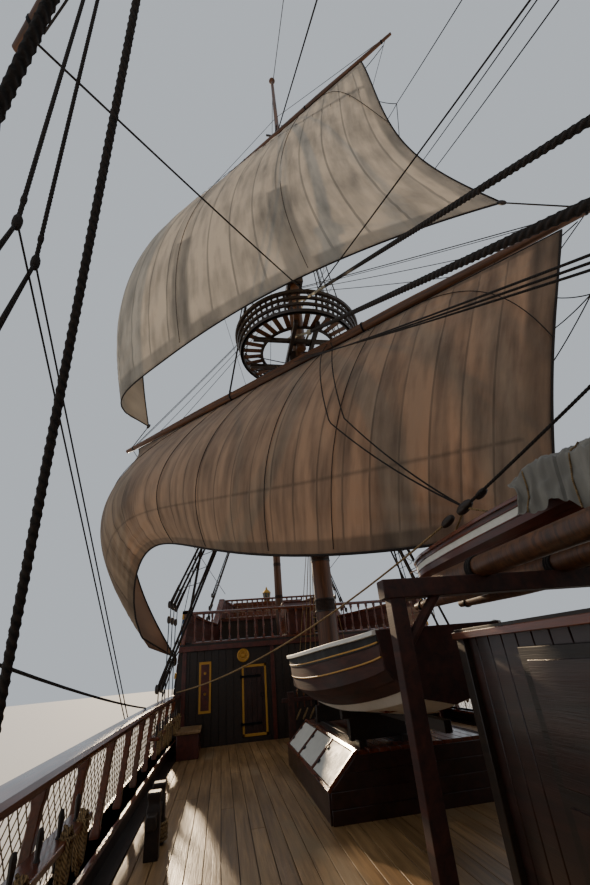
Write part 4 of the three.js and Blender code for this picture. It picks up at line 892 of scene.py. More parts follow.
def lateen_yard():
    """The mizzen's slanting yard with its bands and the rope that holds it to the mast."""
    place, low, high = lateen_frame(), -4.3, 6.3
    made = Shape(PINE, TARRED, IRON)
    rings = []
    for z in steps(low, high, 26):
        r = mix(0.05, 0.1, clamp((z - low) / 2.6)) if z < -1.72 else mix(0.1, 0.045, clamp((z - 1.9) / 4.4))
        rings.append([place @ vec(r * cos(a), 0.33 + r * sin(a), z) for a in around(16)])
    made.loft(rings)
    base = vec(MIZZEN.x, 0, LATEEN_LEVEL)
    for z in (-0.055, -0.018, 0.02):
        made.band(base + vec(0, 0, z), UP, 0.158, 0.208, 0.03, slot=1, sides=32)
    made.block((-0.06, 0.2, -0.055), (0.06, 0.33, 0.055), 1, Matrix.Translation(base))
    for z in (-1.2, 1.2):
        made.band(place @ vec(0, 0.33, z), place.to_3x3() @ vec(0, 0, 1), 0.07, 0.108, 0.05, slot=2)
    made.piece("mizzen_yard_wood", "lateen", ["mizzen_yard"], "oiled_spar", bevel=0.003)


def furled_roll(name, place, reach, radius, body):
    """A sail rolled up along its spar: full folds, drawn in at every gasket that ties it."""
    made = Shape(STOWED, MANILA)
    rings, uv = [], []
    taper = lambda y: 0.4 + 0.6 * (1 - abs(y / reach) ** 2.2)
    for y in steps(-reach, reach, int(reach * 2 / 0.09)):
        tie = exp(-(((y / GASKET + 0.5) % 1 - 0.5) * GASKET / 0.045) ** 2)
        ring = []
        for a in around(22):
            fold = 0.09 * sin(5 * a + 1.7 * sin(y * 1.3)) + 0.12 * noise.noise(vec(y * 1.7, a, 3))
            r = radius * taper(y) * (1 + fold * (1 - tie) * 0.9 - 0.2 * tie - 0.06)
            droop = 0.82 if sin(a) < 0 else 1.0
            ring.append(place @ vec(r * cos(a), y, r * sin(a) * droop))
            uv.append((y, a * radius))
        rings.append(ring)
    made.loft(rings, uv=uv)
    roll = made.piece(name + "_roll", body, [name], "sail_canvas", angle=180)
    lines, last = [], int(reach / GASKET)
    for y in [GASKET * k for k in range(-last, last + 1)]:
        r = radius * taper(y) * 0.8
        lines.append(([place @ vec(r * cos(a), y, r * sin(a)) for a in around(12)] + [place @ vec(r, y, 0)], 0.014))
    ropes(name + "_gaskets", lines, MANILA, body, sides=5)


# Standing rigging

SHROUDS = [
    dict(name="fore_shrouds", x=10.5, collar=10.375, mast=0.177, first=0.5, pitch=0.56, count=4, board=1.44,
         rope=0.027, abaft=1.6, foot=lambda at: forecastle(10.5) + BULWARK + 0.16),
    dict(name="main_shrouds", x=-1.2, collar=11.275, mast=0.197, first=1.0, pitch=0.6, count=5, board=1.44, rope=0.03,
         abaft=0.35,
         foot=lambda at: RAIL_TOP + 0.19 if at > CASTLE_BREAK + 0.2 else quarterdeck(at) + BULWARK + 0.2),
    dict(name="mizzen_shrouds", x=-9.5, collar=12.7, mast=0.1515, first=0.42, pitch=0.48, count=3, board=3.35,
         rope=0.022, abaft=0.35, foot=lambda at: wall_top(at) + 0.2),
]


def turnery(profile, sides, axis=UP):
    """A small turned wooden shape about the origin, to be scattered."""
    made = Shape(OAK)
    made.turned(profile, (0, 0, 0), axis, sides)
    return made


def deadeye():
    """A round wooden block with a groove for the rope round its edge."""
    return turnery([(0, -0.5), (0.6, -0.5), (0.93, -0.3), (0.88, 0), (0.93, 0.3), (0.6, 0.5), (0, 0.5)], 14, ACROSS)


def standing(row):
    """One mast's shrouds with ratlines, lanyards, deadeyes, channels and chain plates."""
    x, mast, collar, rope, board = (row[k] for k in ("x", "mast", "collar", "rope", "board"))
    places = [x - row["first"] - i * row["pitch"] for i in range(row["count"])]
    lines, thin, eyes, boards = [], [], [], Shape(OAK, IRON, TARRED)
    boards.band(vec(x, 0, collar - 0.11), UP, mast + 0.001, mast + 0.075, 0.108, slot=2)
    for hand in HANDS:
        ends = []
        for i, at in enumerate(places):
            turn = (0.45 + 0.35 * i / row["count"]) * pi
            reach = side(at, board) + CHANNEL
            a = vec(x + (mast + 0.06) * cos(turn), hand * (mast + 0.06) * sin(turn), collar - 0.06)
            b, foot = vec(at, hand * reach, row["foot"](at)), board + 0.04
            ends.append((a, b))
            lines.append(([a, b], rope))
            lines.append(([b + vec(0, 0, -0.09), b + vec(0, 0, 0.1), b + (a - b).normalized() * 0.75], rope * 0.9))
            low = b + vec(0, 0, -0.38)
            for dx in (-0.045, 0, 0.045):
                thin.append(([b + vec(dx, 0.03, 0), low + vec(dx * 0.8, 0.03, 0)], 0.009))
            eyes += [(p, Euler((0, 0, 0)), (0.105, 0.09, 0.105)) for p in (b, low)]
            boards.bar(low + vec(0, 0, -0.08), (at, hand * reach, foot), 0.014, sides=6, slot=1)
            bolt = vec(at - 0.03, hand * (side(at, board - 0.75) + 0.035), board - 0.75)
            boards.bar((at, hand * reach, foot - 0.1), bolt, 0.016, sides=6, slot=1)
            boards.turned([(0.05, 0), (0.05, 0.03), (0, 0.04)], bolt - vec(0, hand * 0.02, 0), (0, hand, 0), sides=8,
                          slot=1)
        top, floor = collar - 0.95, max(b.z for a, b in ends) + 0.35
        for z in steps(floor, top, int((top - floor) / RATLINE)):
            thin.append((line(*(a.lerp(b, (a.z - z) / (a.z - b.z)) for a, b in ends), sag=0.02, count=3), 0.0095))
        for a, b in ends:
            thin.append(([a.lerp(b, t) for t in (0.93, 0.985)], rope * 1.25))
        rows = steps(places[-1] - row["abaft"], places[0] + 0.35, 10)
        boards.loft([[raked(q, hand * (side(q, z) + out), z) for z, out in corners(board, board + 0.09, 0.22, -0.04)]
                     for q in rows])
    stuff = row["name"]
    ropes(stuff + "_ropes", lines, TARRED, "ship", sides=8, step=0.9, hides=[stuff])
    ropes(stuff + "_ratlines", thin, TARRED, "ship", sides=5, step=0.4)
    scatter(stuff + "_deadeyes", deadeye(), eyes, OAK, "ship")
    boards.piece(stuff + "_channels", "ship", finish="tarred_timber", bevel=0.004)


def topmast_shrouds(key):
    """Topmast shrouds from the hounds to the rim, their ratlines, and the short shrouds under the top."""
    rig, lines, thin, eyes = RIG[key], [], [], []
    x, size, hold = rig["at"].x + AHEAD, rig["size"], rig["hounds"] - 0.091
    r = (TOP["rim"] + 0.01) * size - 0.04
    grip = Shape(TARRED)
    neck = topmast_radius(rig, hold - 0.11)
    grip.band(vec(x, 0, hold - 0.11), UP, neck + 0.001, neck + 0.064, 0.11)
    grip.piece(key + "_topmast_collar", "ship", finish="tarred_rope")
    for hand in HANDS:
        ends = []
        for a in (radians(degrees) for degrees in (95, 110, 125)):
            foot = vec(rig["at"].x + r * cos(a), hand * r * sin(a), rig["rim"] + 0.13)
            head = vec(x + 0.15 * cos(a), hand * 0.15 * sin(a), hold - 0.06)
            ends.append((head, foot))
            lines += [([head, foot], 0.019), ([foot, foot - vec(0, 0, 0.13)], 0.03)]
            eyes.append((foot, Euler((0, 0, a * hand + pi / 2)), (0.07, 0.06, 0.07)))
            thin.append(([vec(rig["at"].x + q * cos(a), hand * q * sin(a), rig["floor"] - down)
                          for q, down in ((1.62 * size, 0.01), (0.27, 0.4))], 0.016))
        for z in steps(rig["rim"] + 0.5, hold - 1.6, int((hold - 2.1 - rig["rim"]) / 0.4)):
            thin.append(([a.lerp(b, (a.z - z) / (a.z - b.z)) for a, b in ends], 0.008))
    ropes(key + "_topmast_shrouds_ropes", lines, TARRED, "ship", sides=7, step=0.8, hides=[key + "_topmast_shrouds"])
    ropes(key + "_topmast_ratlines", thin, TARRED, "ship", sides=5, step=0.4)
    scatter(key + "_topmast_deadeyes", deadeye(), eyes, OAK, "ship")


SPRIT_HEEL, SPRIT_END = vec(12.7, 0, 3.62), vec(24.6, 0, 9.15)


def sprit_part(x):
    """How far along the bowsprit a place lies, from 0 at the heel to 1 at the end."""
    return (x - SPRIT_HEEL.x) / (SPRIT_END.x - SPRIT_HEEL.x)


def sprit_at(x):
    return SPRIT_HEEL.lerp(SPRIT_END, sprit_part(x))


def sprit_radius(part):
    return mix(0.21, 0.095, part)


STAYS = [
    dict(name="main_stay", rig="main", z=12.225, rope=0.042, split=2.0, end=vec(10.14, 0, 3.56)),
    dict(name="main_preventer_stay", rig="main", z=13.65, rope=0.034, split=2.0, end=vec(10.16, 0, 4.05)),
    dict(name="fore_stay", rig="fore", z=12.65, rope=0.04, split=1.9, end=sprit_at(19.4) + vec(0, 0, 0.215)),
]


def on_stay(row, x):
    """The point of a stay at a place along the ship."""
    start = vec(RIG[row["rig"]]["at"].x, 0, row["z"])
    return start.lerp(row["end"], (x - start.x) / (row["end"].x - start.x))


def stay(row):
    """A stay of laid rope: two legs round the masthead, a woven mouse where they meet, and hearts at the foot."""
    rig = RIG[row["rig"]]
    x, z, rope, end = rig["at"].x, row["z"], row["rope"], row["end"]
    mast = mast_radius(rig, z - 0.09)
    way = (end - vec(x, 0, z)).normalized()
    mouse = vec(x, 0, z) + way * row["split"]
    made = Shape(SERVED, OAK, TARRED)
    made.band(vec(x, 0, z - 0.09), UP, mast + 0.001, mast + 0.05, 0.1, slot=2)
    made.turned([(0, -rope * 2.6), (rope, -rope * 2.4), (rope * 1.7, -rope), (rope * 1.9, 0), (rope * 1.5, rope * 1.4),
                 (rope, rope * 2.6), (0, rope * 2.7)], mouse, way, sides=16)
    for off in (0.0, -0.62):
        at = end + way * off
        made.turned([(0, -0.05), (rope * 2.2, -0.045), (rope * 2.4, 0), (rope * 2.2, 0.045), (0, 0.05)], at, ACROSS,
                    sides=16, slot=1)
    # The legs and the stretch below them are served with pale line against chafe
    bare = mouse + way * (2.6 if "preventer" in row["name"] else 0.3)
    lines, pale = [([bare, end - way * 0.7], rope)], [([mouse + way * 0.05, bare], rope * 1.02)]
    for hand in HANDS:
        pale.append(([*(vec(x + dx, hand * (mast + out), z - drop) for dx, out, drop in (
            (-0.06, 0.02, 0.04), (-0.05, 0.11, 0.04), (0.1, 0.1, 0.12))), mouse], rope * 0.8))
        lines += [([end - way * 0.62 + vec(0, hand * 0.03 * k, 0), end + vec(0, hand * 0.03 * k, 0)], 0.012)
                  for k in (0.4, 1.2)]
    made.piece(row["name"] + "_mouse", "ship", [row["name"]], "tarred_rope")
    if row["name"] == "fore_stay":
        seat = Shape(TARRED)
        turn, r, at = SPRIT_END - SPRIT_HEEL, sprit_radius(sprit_part(19.4)), sprit_at(19.4)
        seat.band(at - turn.normalized() * 0.1, turn, r + 0.001, r + 0.06, 0.2)
        seat.piece("fore_stay_collar", "ship", finish="tarred_rope")
        lines.append(([end, at + vec(0, 0, r + 0.03)], 0.05))
    else:
        lines.append(([end, vec(FORE.x - mast_radius(RIG["fore"], end.z) - GAP, 0, end.z)], rope * 1.2))
    ropes(row["name"] + "_rope", lines, TARRED, "ship", sides=12, strand=0.12)
    ropes(row["name"] + "_service", pale, SERVED, "ship", sides=10, step=0.1)


def backstays():
    """Lighter stays without a solid of their own: topmast stays, mizzen stay and backstays to the channels."""
    lines = []
    for key, above, foot in (("main", 0.2, vec(10.28, 0, 12.95)), ("fore", 0.9, sprit_at(23.6))):
        rig = RIG[key]
        lines.append(([vec(rig["at"].x + AHEAD + 0.07, 0, rig["hounds"] + above), foot], 0.024))
    lines.append(([vec(MIZZEN.x + 0.1, 0, 12.5), vec(MAIN.x - 0.24, 0, 4.9)], 0.026))
    main, fore = (RIG[key]["at"] + vec(AHEAD, 0, RIG[key]["top_head"] - 0.5) for key in ("main", "fore"))
    lines += [([main, fore], 0.016), ([main, vec(MIZZEN.x, 0, 12.6)], 0.012), ([fore, sprit_at(24.1)], 0.014)]
    for hand in HANDS:
        for x, key, thick in ((-4.35, "main", 0.026), (-4.05, "main", 0.014), (7.95, "fore", 0.026),
                              (8.2, "fore", 0.014)):
            rig = RIG[key]
            foot = vec(x, hand * (side(x, 1.5) + CHANNEL), 1.56)
            lines.append(([vec(rig["at"].x + AHEAD - 0.05, hand * 0.07, rig["hounds"] + 0.12), foot], thick))
    ropes("topmast_stays_and_backstays", lines, TARRED, "ship", step=1.2)
    ropes("fore_top_pendants", [([vec(10.02, hand * 1.55, 11.45), vec(7.26, hand * 3.9, 1.56)], 0.023)
                                for hand in HANDS], TARRED, "ship", sides=9, strand=0.14)


# Running rigging. A rope between a yard and the ship is made as one piece in place


def tackle_block():
    """A wooden pulley block: an egg-shaped shell."""
    return turnery([(0, -1), (0.45, -0.85), (0.72, -0.45), (0.78, 0), (0.72, 0.45), (0.45, 0.85), (0, 1)], 10)


def hung(at, toward, size):
    """A block's row for scatter: at a place, its length along a direction."""
    turn = Vector(UP).rotation_difference(Vector(toward)).to_euler()
    return (Vector(at), turn, (size * 0.62, size * 0.62, size))


def on_yard(name, y, z=0.0, ahead=0.0):
    spec = YARDS[name]
    return yard_place(spec) @ vec(spec["ahead"] + ahead, y, z)


def bridle(spec):
    """Where the legs of the weather leech's bowline meet, ahead of the leech."""
    leech = on_sail(spec, 1, 0.42)
    return leech + (vec(14.2, 0, 4.6) - leech).normalized() * 1.3


def clew_gear(name, spec):
    """The course's clew garnets, or the topsail's reef points and sheets, with their blocks."""
    lines, blocks, main = [], [], YARDS["main_yard"]["half"]
    if name == "main_topsail":
        for u in steps(0.05, 0.95, 24):
            for off in (0.012, -0.012):
                lines.append(([on_sail(spec, u, v, off * k) for v, k in ((0.17, 1), (0.182, 4), (0.205, 3))], 0.006))
    for u, hand in ((0.0, -1), (1.0, 1)):
        clew = on_sail(spec, u, 1.0)
        if name == "main_course":
            lines.append((line(clew, on_yard("main_yard", hand * 0.32 * main, -0.2, 0.1), sag=0.01, count=8), 0.011))
            blocks.append(hung(clew + vec(0, 0, -0.1), UP, 0.14))
        else:
            arm = on_yard("main_yard", hand * 0.955 * main, 0.1)
            lines.append(([clew, arm], 0.018))
            blocks.append(hung(clew, arm - clew, 0.12))
    return lines, blocks


def sail_ropes():
    """Bolt ropes, buntlines, bowline bridles, lifts and tacks that turn with their own yard."""
    for name, spec in SAILS.items():
        body, head = spec["body"], steps(0, 1, 40)
        edge = ([on_sail(spec, 0, v) for v in head] + [on_sail(spec, u, 1) for u in steps(0, 1, 60)][1:]
                + [on_sail(spec, 1, v) for v in steps(1, 0, 40)][1:])
        ropes(name + "_bolt_rope", [(edge, 0.024), ([on_sail(spec, u, 0) for u in head], 0.018)], TARRED, body,
              sides=8, step=0.12)
        lines, blocks = [], []
        for u in spec["drops"]:
            path = [on_sail(spec, u, v, 0.03 + 0.012 * sin(9 * v)) for v in steps(0.0, 0.985, 26)]
            lines.append((path, 0.009))
            blocks.append(hung(path[0] + vec(0, 0, 0.12), UP, 0.1))
        for hand in HANDS:
            lines.append(([on_sail(spec, 0.5 + hand * 0.5 * (0.46 + 0.54 * t ** 0.7), 0.46 * t ** 1.6, 0.035)
                           for t in steps(0, 1, 22)], 0.01))
        lines += [(line(on_sail(spec, 1, v), bridle(spec), sag=0.02, count=5), 0.011) for v in (0.3, 0.42, 0.54)]
        more, others = clew_gear(name, spec)
        ropes(name + "_lines", lines + more, TARRED, body, sides=5, step=0.15)
        scatter(name + "_blocks", tackle_block(), blocks + others, OAK, body)
    for key in RIG:
        rig, upper, lower = RIG[key], key + "_topsail_yard", key + "_yard"
        peak = rig["at"] + vec(0, 0, rig["head"] + 0.13)
        lines = [(line(peak - vec(0, 0, 0.05 * k), on_yard(lower, hand * (YARDS[lower]["half"] - back), 0.08),
                       sag=0.004 + 0.002 * k, count=8), thick) for hand in HANDS
                 for k, (back, thick) in enumerate(((0.5, 0.013), (0.66, 0.009), (1.9, 0.01), (3.1, 0.01)))]
        ropes(lower + "_lifts", lines, TARRED, YARDS[lower]["body"], sides=5)
        peak = rig["at"] + vec(AHEAD, 0, rig["hounds"] + 1.5)
        lines = [(line(peak, on_yard(upper, hand * (YARDS[upper]["half"] - 0.15), 0.06), sag=0.004, count=8), 0.011)
                 for hand in HANDS]
        ropes(upper + "_lifts", lines, TARRED, YARDS[upper]["body"], sides=5)


def between(name, path, radius, body, sides=6, strand=0.0, step=0.4):
    """A rope from a yard to the ship, made as one piece that stays in place."""
    top, foot = path[0], path[-1]
    made = ropes(name, [(path, radius)], TARRED, None, sides=sides, step=step, strand=strand)
    tuple(top.lerp(foot, 0.04))
    tuple(top.lerp(foot, 0.96))
    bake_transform(made)


def fore_course_gear():
    """The thick sheet, clew lines and their falls, which hang between the furled fore course and the rail."""
    spot = lambda s: on_yard("fore_yard", -s, -0.12)
    knots, falls, tails = [], [], []
    for k, (s, knot) in enumerate(((4.4, vec(7.2, -3.6, 5.385)), (4.2, vec(6.92, -3.6, 5.38)))):
        high = spot(s)
        between(f"fore_clew_line_{k}", line(high, knot, sag=0.01, count=10), 0.014, "fore_yards", 8, 0.1)
        knots += [hung(knot, high - knot, 0.06), hung(knot.lerp(high, 0.04), high - knot, 0.04)]
        falls.append(([knot, vec(2.57 - 0.2 * k, 0.06 - side(2.5, 2.4), RAIL_TOP + 0.04)], 0.007))
        for d in (-0.03, 0, 0.03):
            foot = vec(7.75 - 0.4 * k + 2 * d, -3.93, 1.56)
            tails.append((line(knot, foot, sag=0.01 + abs(d) / 3, count=6), 0.012))
    ropes("fore_clew_falls", falls, TARRED, "ship", step=0.3)
    ropes("fore_clew_tails", tails, TARRED, "ship", sides=8, step=0.3)
    scatter("fore_clew_blocks", tackle_block(), knots, TARRED, "ship")
    # The sheet comes down outside the rail to a lead block on the wale
    between("fore_sheet", line(spot(3.5), vec(5.2, -3.92, 1.12)), 0.029, "fore_yards", 12, 0.15)
    lead = Shape(OAK, IRON)
    lead.block((5.05, -3.99, 0.98), (5.35, -3.76, 1.16))
    lead.block((5.02, -3.965, 1.02), (5.38, -3.93, 1.06), 1)
    lead.piece("fore_sheet_lead", "ship", finish="tarred_timber", bevel=0.02)
    fall = line(vec(0.7, 0.03 - side(0.7, 2.4), RAIL_TOP + 0.02), vec(8.32, -3.9, 3.5), sag=0.01, count=12)
    ropes("fore_tack_fall", [(fall, 0.012)], TARRED, "ship", step=0.2)


def boat_tackle():
    """The tackle over the boats: from the main yard down the sail to its blocks, and on to the shrouds."""
    hook, course = vec(4.0, 0.86, 4.62), SAILS["main_course"]
    for k, d in enumerate((-0.012, 0.012)):
        down = [on_yard("main_yard", 1.45 + 5 * d, -0.1, 0.2)] + [
            on_sail(course, mix(0.6, 0.7, t) + d, mix(0.03, 0.56, t), 0.07) for t in steps(0, 1, 8)]
        between(f"boat_tackle_pendant_{k}", down + line(down[-1], hook, sag=0.04, count=12)[1:], 0.014, "main_yards",
                7, step=0.12)
    lead = vec(9.28, 2.5, 6.6)
    way, block = lead - hook, hook + vec(-0.3, -0.12, -0.1)
    rows = [hung(hook, way, 0.15), hung(block, way, 0.13), hung(hook + vec(0.25, 0.13, 0.1), way, 0.11)]
    scatter("boat_tackle_blocks", tackle_block(), rows, OAK, "ship")
    ropes("boat_tackle_lead", [(line(hook, lead, sag=0.01, count=10), 0.02)], TARRED, "ship", sides=8, strand=0.12)
    ropes("boat_tackle_fall", [(line(block, vec(-2.75, -3.42, 2.52), sag=0.04, count=24), 0.015),
                               (line(hook, vec(4.95, 1.0, 4.2), sag=0.02, count=4), 0.014),
                               (line(hook, vec(2.75, 1.05, 4.22), sag=0.02, count=4), 0.014)],
          MANILA, "ship", sides=8, strand=0.1)


def sheets_and_braces():
    """Ropes that lead from the yards and clews to the hull or to another mast."""
    course, topsail = SAILS["main_course"], SAILS["main_topsail"]
    arm = lambda name, hand: on_yard(name, hand * YARDS[name]["half"] * 0.96, 0.02)
    tack, sheet = on_sail(course, 1, 1), on_sail(course, 0, 1)
    runs = {
        "main_yards": [
            *((arm("main_yard", hand), (-12.6, 2.2 * hand, 6.1), 0.012) for hand in HANDS),
            (tack, (9.3, 3.3, 3.9), 0.03), (tack, (-5.6, 3.3, 4.6), 0.02), (sheet, (-8.2, -3.2, 4.7), 0.022),
            (sheet, (-2.0, -3.66, 2.5), 0.018), (bridle(course), (14.0, 0.12, 4.5), 0.012),
            *((on_yard("main_yard", 0.25 + 0.2 * k, -0.12, 0.22), (10.27, 0.03 * k, 3.3 - 0.08 * k), 0.011)
              for k in range(3))],
        "main_topsail_yards": [
            *((arm("main_topsail_yard", hand), (-9.5, 0.12 * hand, 12.2), 0.01) for hand in HANDS),
            (bridle(topsail), (14.3, 0.14, 4.6), 0.011),
            *((on_sail(topsail, 1, v), (14.2, 0.08, 4.55), 0.011) for v in (0.7, 0.76))],
        # The fore braces lead to blocks on the main preventer stay, below and ahead of the topsail's foot
        "fore_yards": [(arm("fore_yard", hand), on_stay(STAYS[1], 1.0) + vec(0, 0.07 * hand, 0), 0.018)
                       for hand in HANDS],
    }
    for body, rows in runs.items():
        for k, (top, foot, rope) in enumerate(rows):
            between(f"{body}_lead_{k}", line(top, foot, sag=0.008, count=14), rope, body)


# Hull, decks and rails

def run(made, xs, low, high, out, inner, hand, slot=0):
    """A plank along the ship's side. Its levels are functions of the place along the ship."""
    made.loft([[raked(x, hand * max(side(x, z) + d, 0.05), z) for z, d in corners(low(x), high(x), out, inner)]
               for x in xs], slot)


def level(z):
    return lambda x: z


def planked(made, x0, x1, low, high, width, out, inner, hand, slot=0):
    """Planks of about one width from one level to another, lying along the side with open seams between."""
    count = max(round((high((x0 + x1) / 2) - low((x0 + x1) / 2)) / width), 1)
    for k in range(count):
        a = lambda x, t=k / count: mix(low(x), high(x), t) + 0.004
        b = lambda x, t=(k + 1) / count: mix(low(x), high(x), t) - 0.004
        run(made, steps(x0, x1, max(int((x1 - x0) / 0.35), 4)), a, b, out, inner, hand, slot)


def hull_sides():
    """Carvel planks over the side, white below the water, with wales and painted upper works."""
    wet, dry, wales, paint = Shape(TALLOW), Shape(OAK), Shape(BLACK, OCHRE), Shape(BLUE, OCHRE, RED_BROWN)
    fore_top = lambda x: forecastle(x) + BULWARK
    below = lambda top, drop: lambda x: top(x) - drop
    # The castles: ends, deck, top of the wall and how far the red strakes reach down
    castles = ((STERN, CASTLE_BREAK, quarterdeck, wall_top, 0.62), (FORE_BREAK, STEM, forecastle, fore_top, 0.4))
    for hand in HANDS:
        for k in range(12):
            seam = [lambda x, t=(n / 12) ** 1.3: mix(station(x, 3) + 0.06, 0.12, t) for n in (k, k + 1)]
            run(wet, steps(-12.95, 13.6, 60), below(seam[0], -0.004), below(seam[1], 0.004), 0.022, -0.03, hand)
        for k in range(6):
            z = 0.12 + 0.2 * k
            xs = [x for x in steps(STERN, STEM, 96) if station(x, 3) < z - 0.02]
            run(dry, xs, level(z), level(z + 0.192), 0.022, -0.03, hand)
        for x0, x1, floor, _, _ in castles:
            planked(dry, x0, x1, level(1.32), below(floor, 0.75 if floor is quarterdeck else 0.5), 0.22, 0.022, -0.02,
                    hand)
        for x0, x1, floor, top, drop in castles:
            planked(paint, x0, x1, below(floor, drop), below(floor, -0.02), 0.2, 0.02, -0.02, hand, 2)
            planked(paint, x0, x1, below(floor, -0.13), below(top, 0.2), 0.2, 0.02, -0.02, hand)
        for x0, x1, floor, top, drop in castles:
            for low, high in ((below(floor, drop + 0.13), below(floor, drop)),
                              (below(floor, -0.02), below(floor, -0.13)), (below(top, 0.2), below(top, 0.075))):
                run(paint, steps(x0, x1, 26), low, high, 0.05, -0.02, hand, 1)
        for low, high in ((0.28, 0.52), (0.86, 1.1)):
            xs = [x for x in steps(STERN + 0.02, STEM - 0.25, 70) if station(x, 3) < low - 0.05]
            rise = lambda x: 0.16 * ((x - 1) / 13) ** 2
            run(wales, xs, lambda x: low + rise(x), lambda x: high + rise(x), 0.085, -0.02, hand)
    wet.piece("underwater_planks", "ship", finish="tarred_timber", bevel=0.003)
    dry.piece("side_planks", "ship", finish="tarred_timber", bevel=0.004)
    wales.piece("wales", "ship", finish="tarred_timber", bevel=0.012)
    paint.piece("painted_planks", "ship", finish="ochre_paint", bevel=0.005)
    spine = Shape(OAK)
    outline = [(-12.7, -3.15), (10.3, -3.15), (11.6, -2.9), (12.9, -2.1), (13.9, -0.85), (14.5, 0.5), (15.5, 1.35),
               (17.3, 2.05), (18.7, 2.8), (19.25, 3.5)]
    inner = [(-12.6, -2.85), (10.2, -2.85), (11.3, -2.6), (12.5, -1.8), (13.5, -0.6), (14.15, 0.75), (15.0, 1.95),
             (16.8, 2.35), (18.0, 3.0), (18.9, 3.56)]
    spine.loft([[vec(x, y, z) for (x, z), y in corners(a, b, -0.16, 0.16)] for a, b in zip(outline, inner)])
    spine.piece("stem_and_keel_timber", "ship", finish="tarred_timber", bevel=0.02)


def deck(name, x0, x1, z, edge, seed=3):
    """Planks laid fore and aft with black seams and staggered butts, inside a margin plank along each side."""
    made, draw = Shape(LARCH, OAK), random.Random(seed)
    limit, thick, rows = lambda x: edge(x) - 0.17, 0.02, int(4.1 / PLANK)
    for row in range(-rows, rows + 1):
        y0, y1 = (row - 0.5) * PLANK + 0.0035, (row + 0.5) * PLANK - 0.0035
        inside = min(abs(y0), abs(y1)) if row else 0
        at = x0 + draw.uniform(1.2, 5.5)
        cuts = [x0]
        while at < x1 - 0.8:
            cuts.append(at)
            at += draw.uniform(4.2, 6.2)
        for a, b in zip(cuts, cuts[1:] + [x1]):
            xs = [x for x in steps(a + 0.003, b - 0.003, max(int((b - a) / 0.5), 1)) if limit(x) > inside + 0.015]
            if len(xs) > 1:
                made.loft([[vec(x, max(min(y, limit(x)), -limit(x)), z(x) + h)
                            for y, h in corners(y0, y1, 0, thick)] for x in xs])
    for hand in HANDS:
        made.loft([[vec(x, hand * (limit(x) + d), z(x) + h) for d, h in (
            (0.005, 0), (0.005, thick + 0.012), (0.19, thick + 0.03), (0.19, 0))] for x in steps(x0, x1, 30)], 1)
    made.piece(name, "ship", finish="varnished_rail", bevel=0.002)


def decks():
    inboard = lambda z: lambda x: side(x, z(x)) - 0.11
    deck("waist_deck", CASTLE_BREAK, FORE_BREAK, level(WAIST), lambda x: side(x, WAIST) - 0.2)
    deck("quarterdeck_planks", POOP_BREAK, CASTLE_BREAK - 0.09, quarterdeck, inboard(quarterdeck), 5)
    deck("poop_deck", STERN + 0.1, POOP_BREAK, poop, inboard(poop), 6)
    deck("forecastle_deck", FORE_BREAK + 0.02, STEM - 0.35, forecastle, lambda x: max(inboard(forecastle)(x), 0.2), 7)


def baluster(made, x, y, low, high, r):
    """A turned stanchion with a square foot and head."""
    h = high - low
    made.post(x, y, r, r, low, low + 0.12 * h)
    made.post(x, y, r, r, high - 0.12 * h, high)
    made.turned([(0, 0.1 * h), (r * 0.9, 0.12 * h), (r * 0.5, 0.2 * h), (r * 0.75, 0.34 * h), (r * 1.0, 0.48 * h),
                 (r * 0.6, 0.6 * h), (r * 0.5, 0.76 * h), (r * 0.9, 0.88 * h), (0, 0.9 * h)], (x, y, low), sides=12)


def cap_rail(made, xs, top, out, inner, hand, thick=0.075):
    """A rail along the side with a rounded top and a bead under its edges."""
    made.loft([[raked(x, hand * (side(x, top(x)) + d), top(x) + h) for d, h in (
        (out - 0.02, -thick), (out, -thick * 0.62), (out, -thick * 0.3), (out - 0.025, 0.004), (0, 0.012),
        (inner + 0.025, 0.004), (inner, -thick * 0.3), (inner, -thick * 0.62), (inner + 0.02, -thick))] for x in xs])


def pin():
    """A belaying pin, its rail hole at the origin."""
    return turnery([(0, -0.17), (0.011, -0.165), (0.013, -0.02), (0.021, 0), (0.013, 0.02), (0.018, 0.08),
                    (0.02, 0.12), (0.012, 0.15), (0, 0.155)], 8)


def hank(at, hand, seed):
    """A coil of rope hung on a belaying pin: long loops side by side, with a turn across them."""
    draw, path = random.Random(seed), []
    for k in range(5):
        w, d, out = 0.05 + 0.012 * draw.random(), 0.34 * draw.uniform(0.85, 1.05), 0.03 + 0.012 * k
        for t in around(10, pi / 2):
            path.append(Vector(at) + vec(w * cos(t) + 0.006 * k, -hand * out, 0.06 - d / 2 + d / 2 * sin(t)))
    path += [Vector(at) + vec(0.06 * cos(t), -hand * (0.055 + 0.045 * sin(t)), 0.0) for t in around(8)]
    return path


def upright(at, turn=0.0):
    """A copy's row for scatter: at a place, turned about the vertical, at the shape's own size."""
    return (at, Euler((0, 0, turn)), (1, 1, 1))


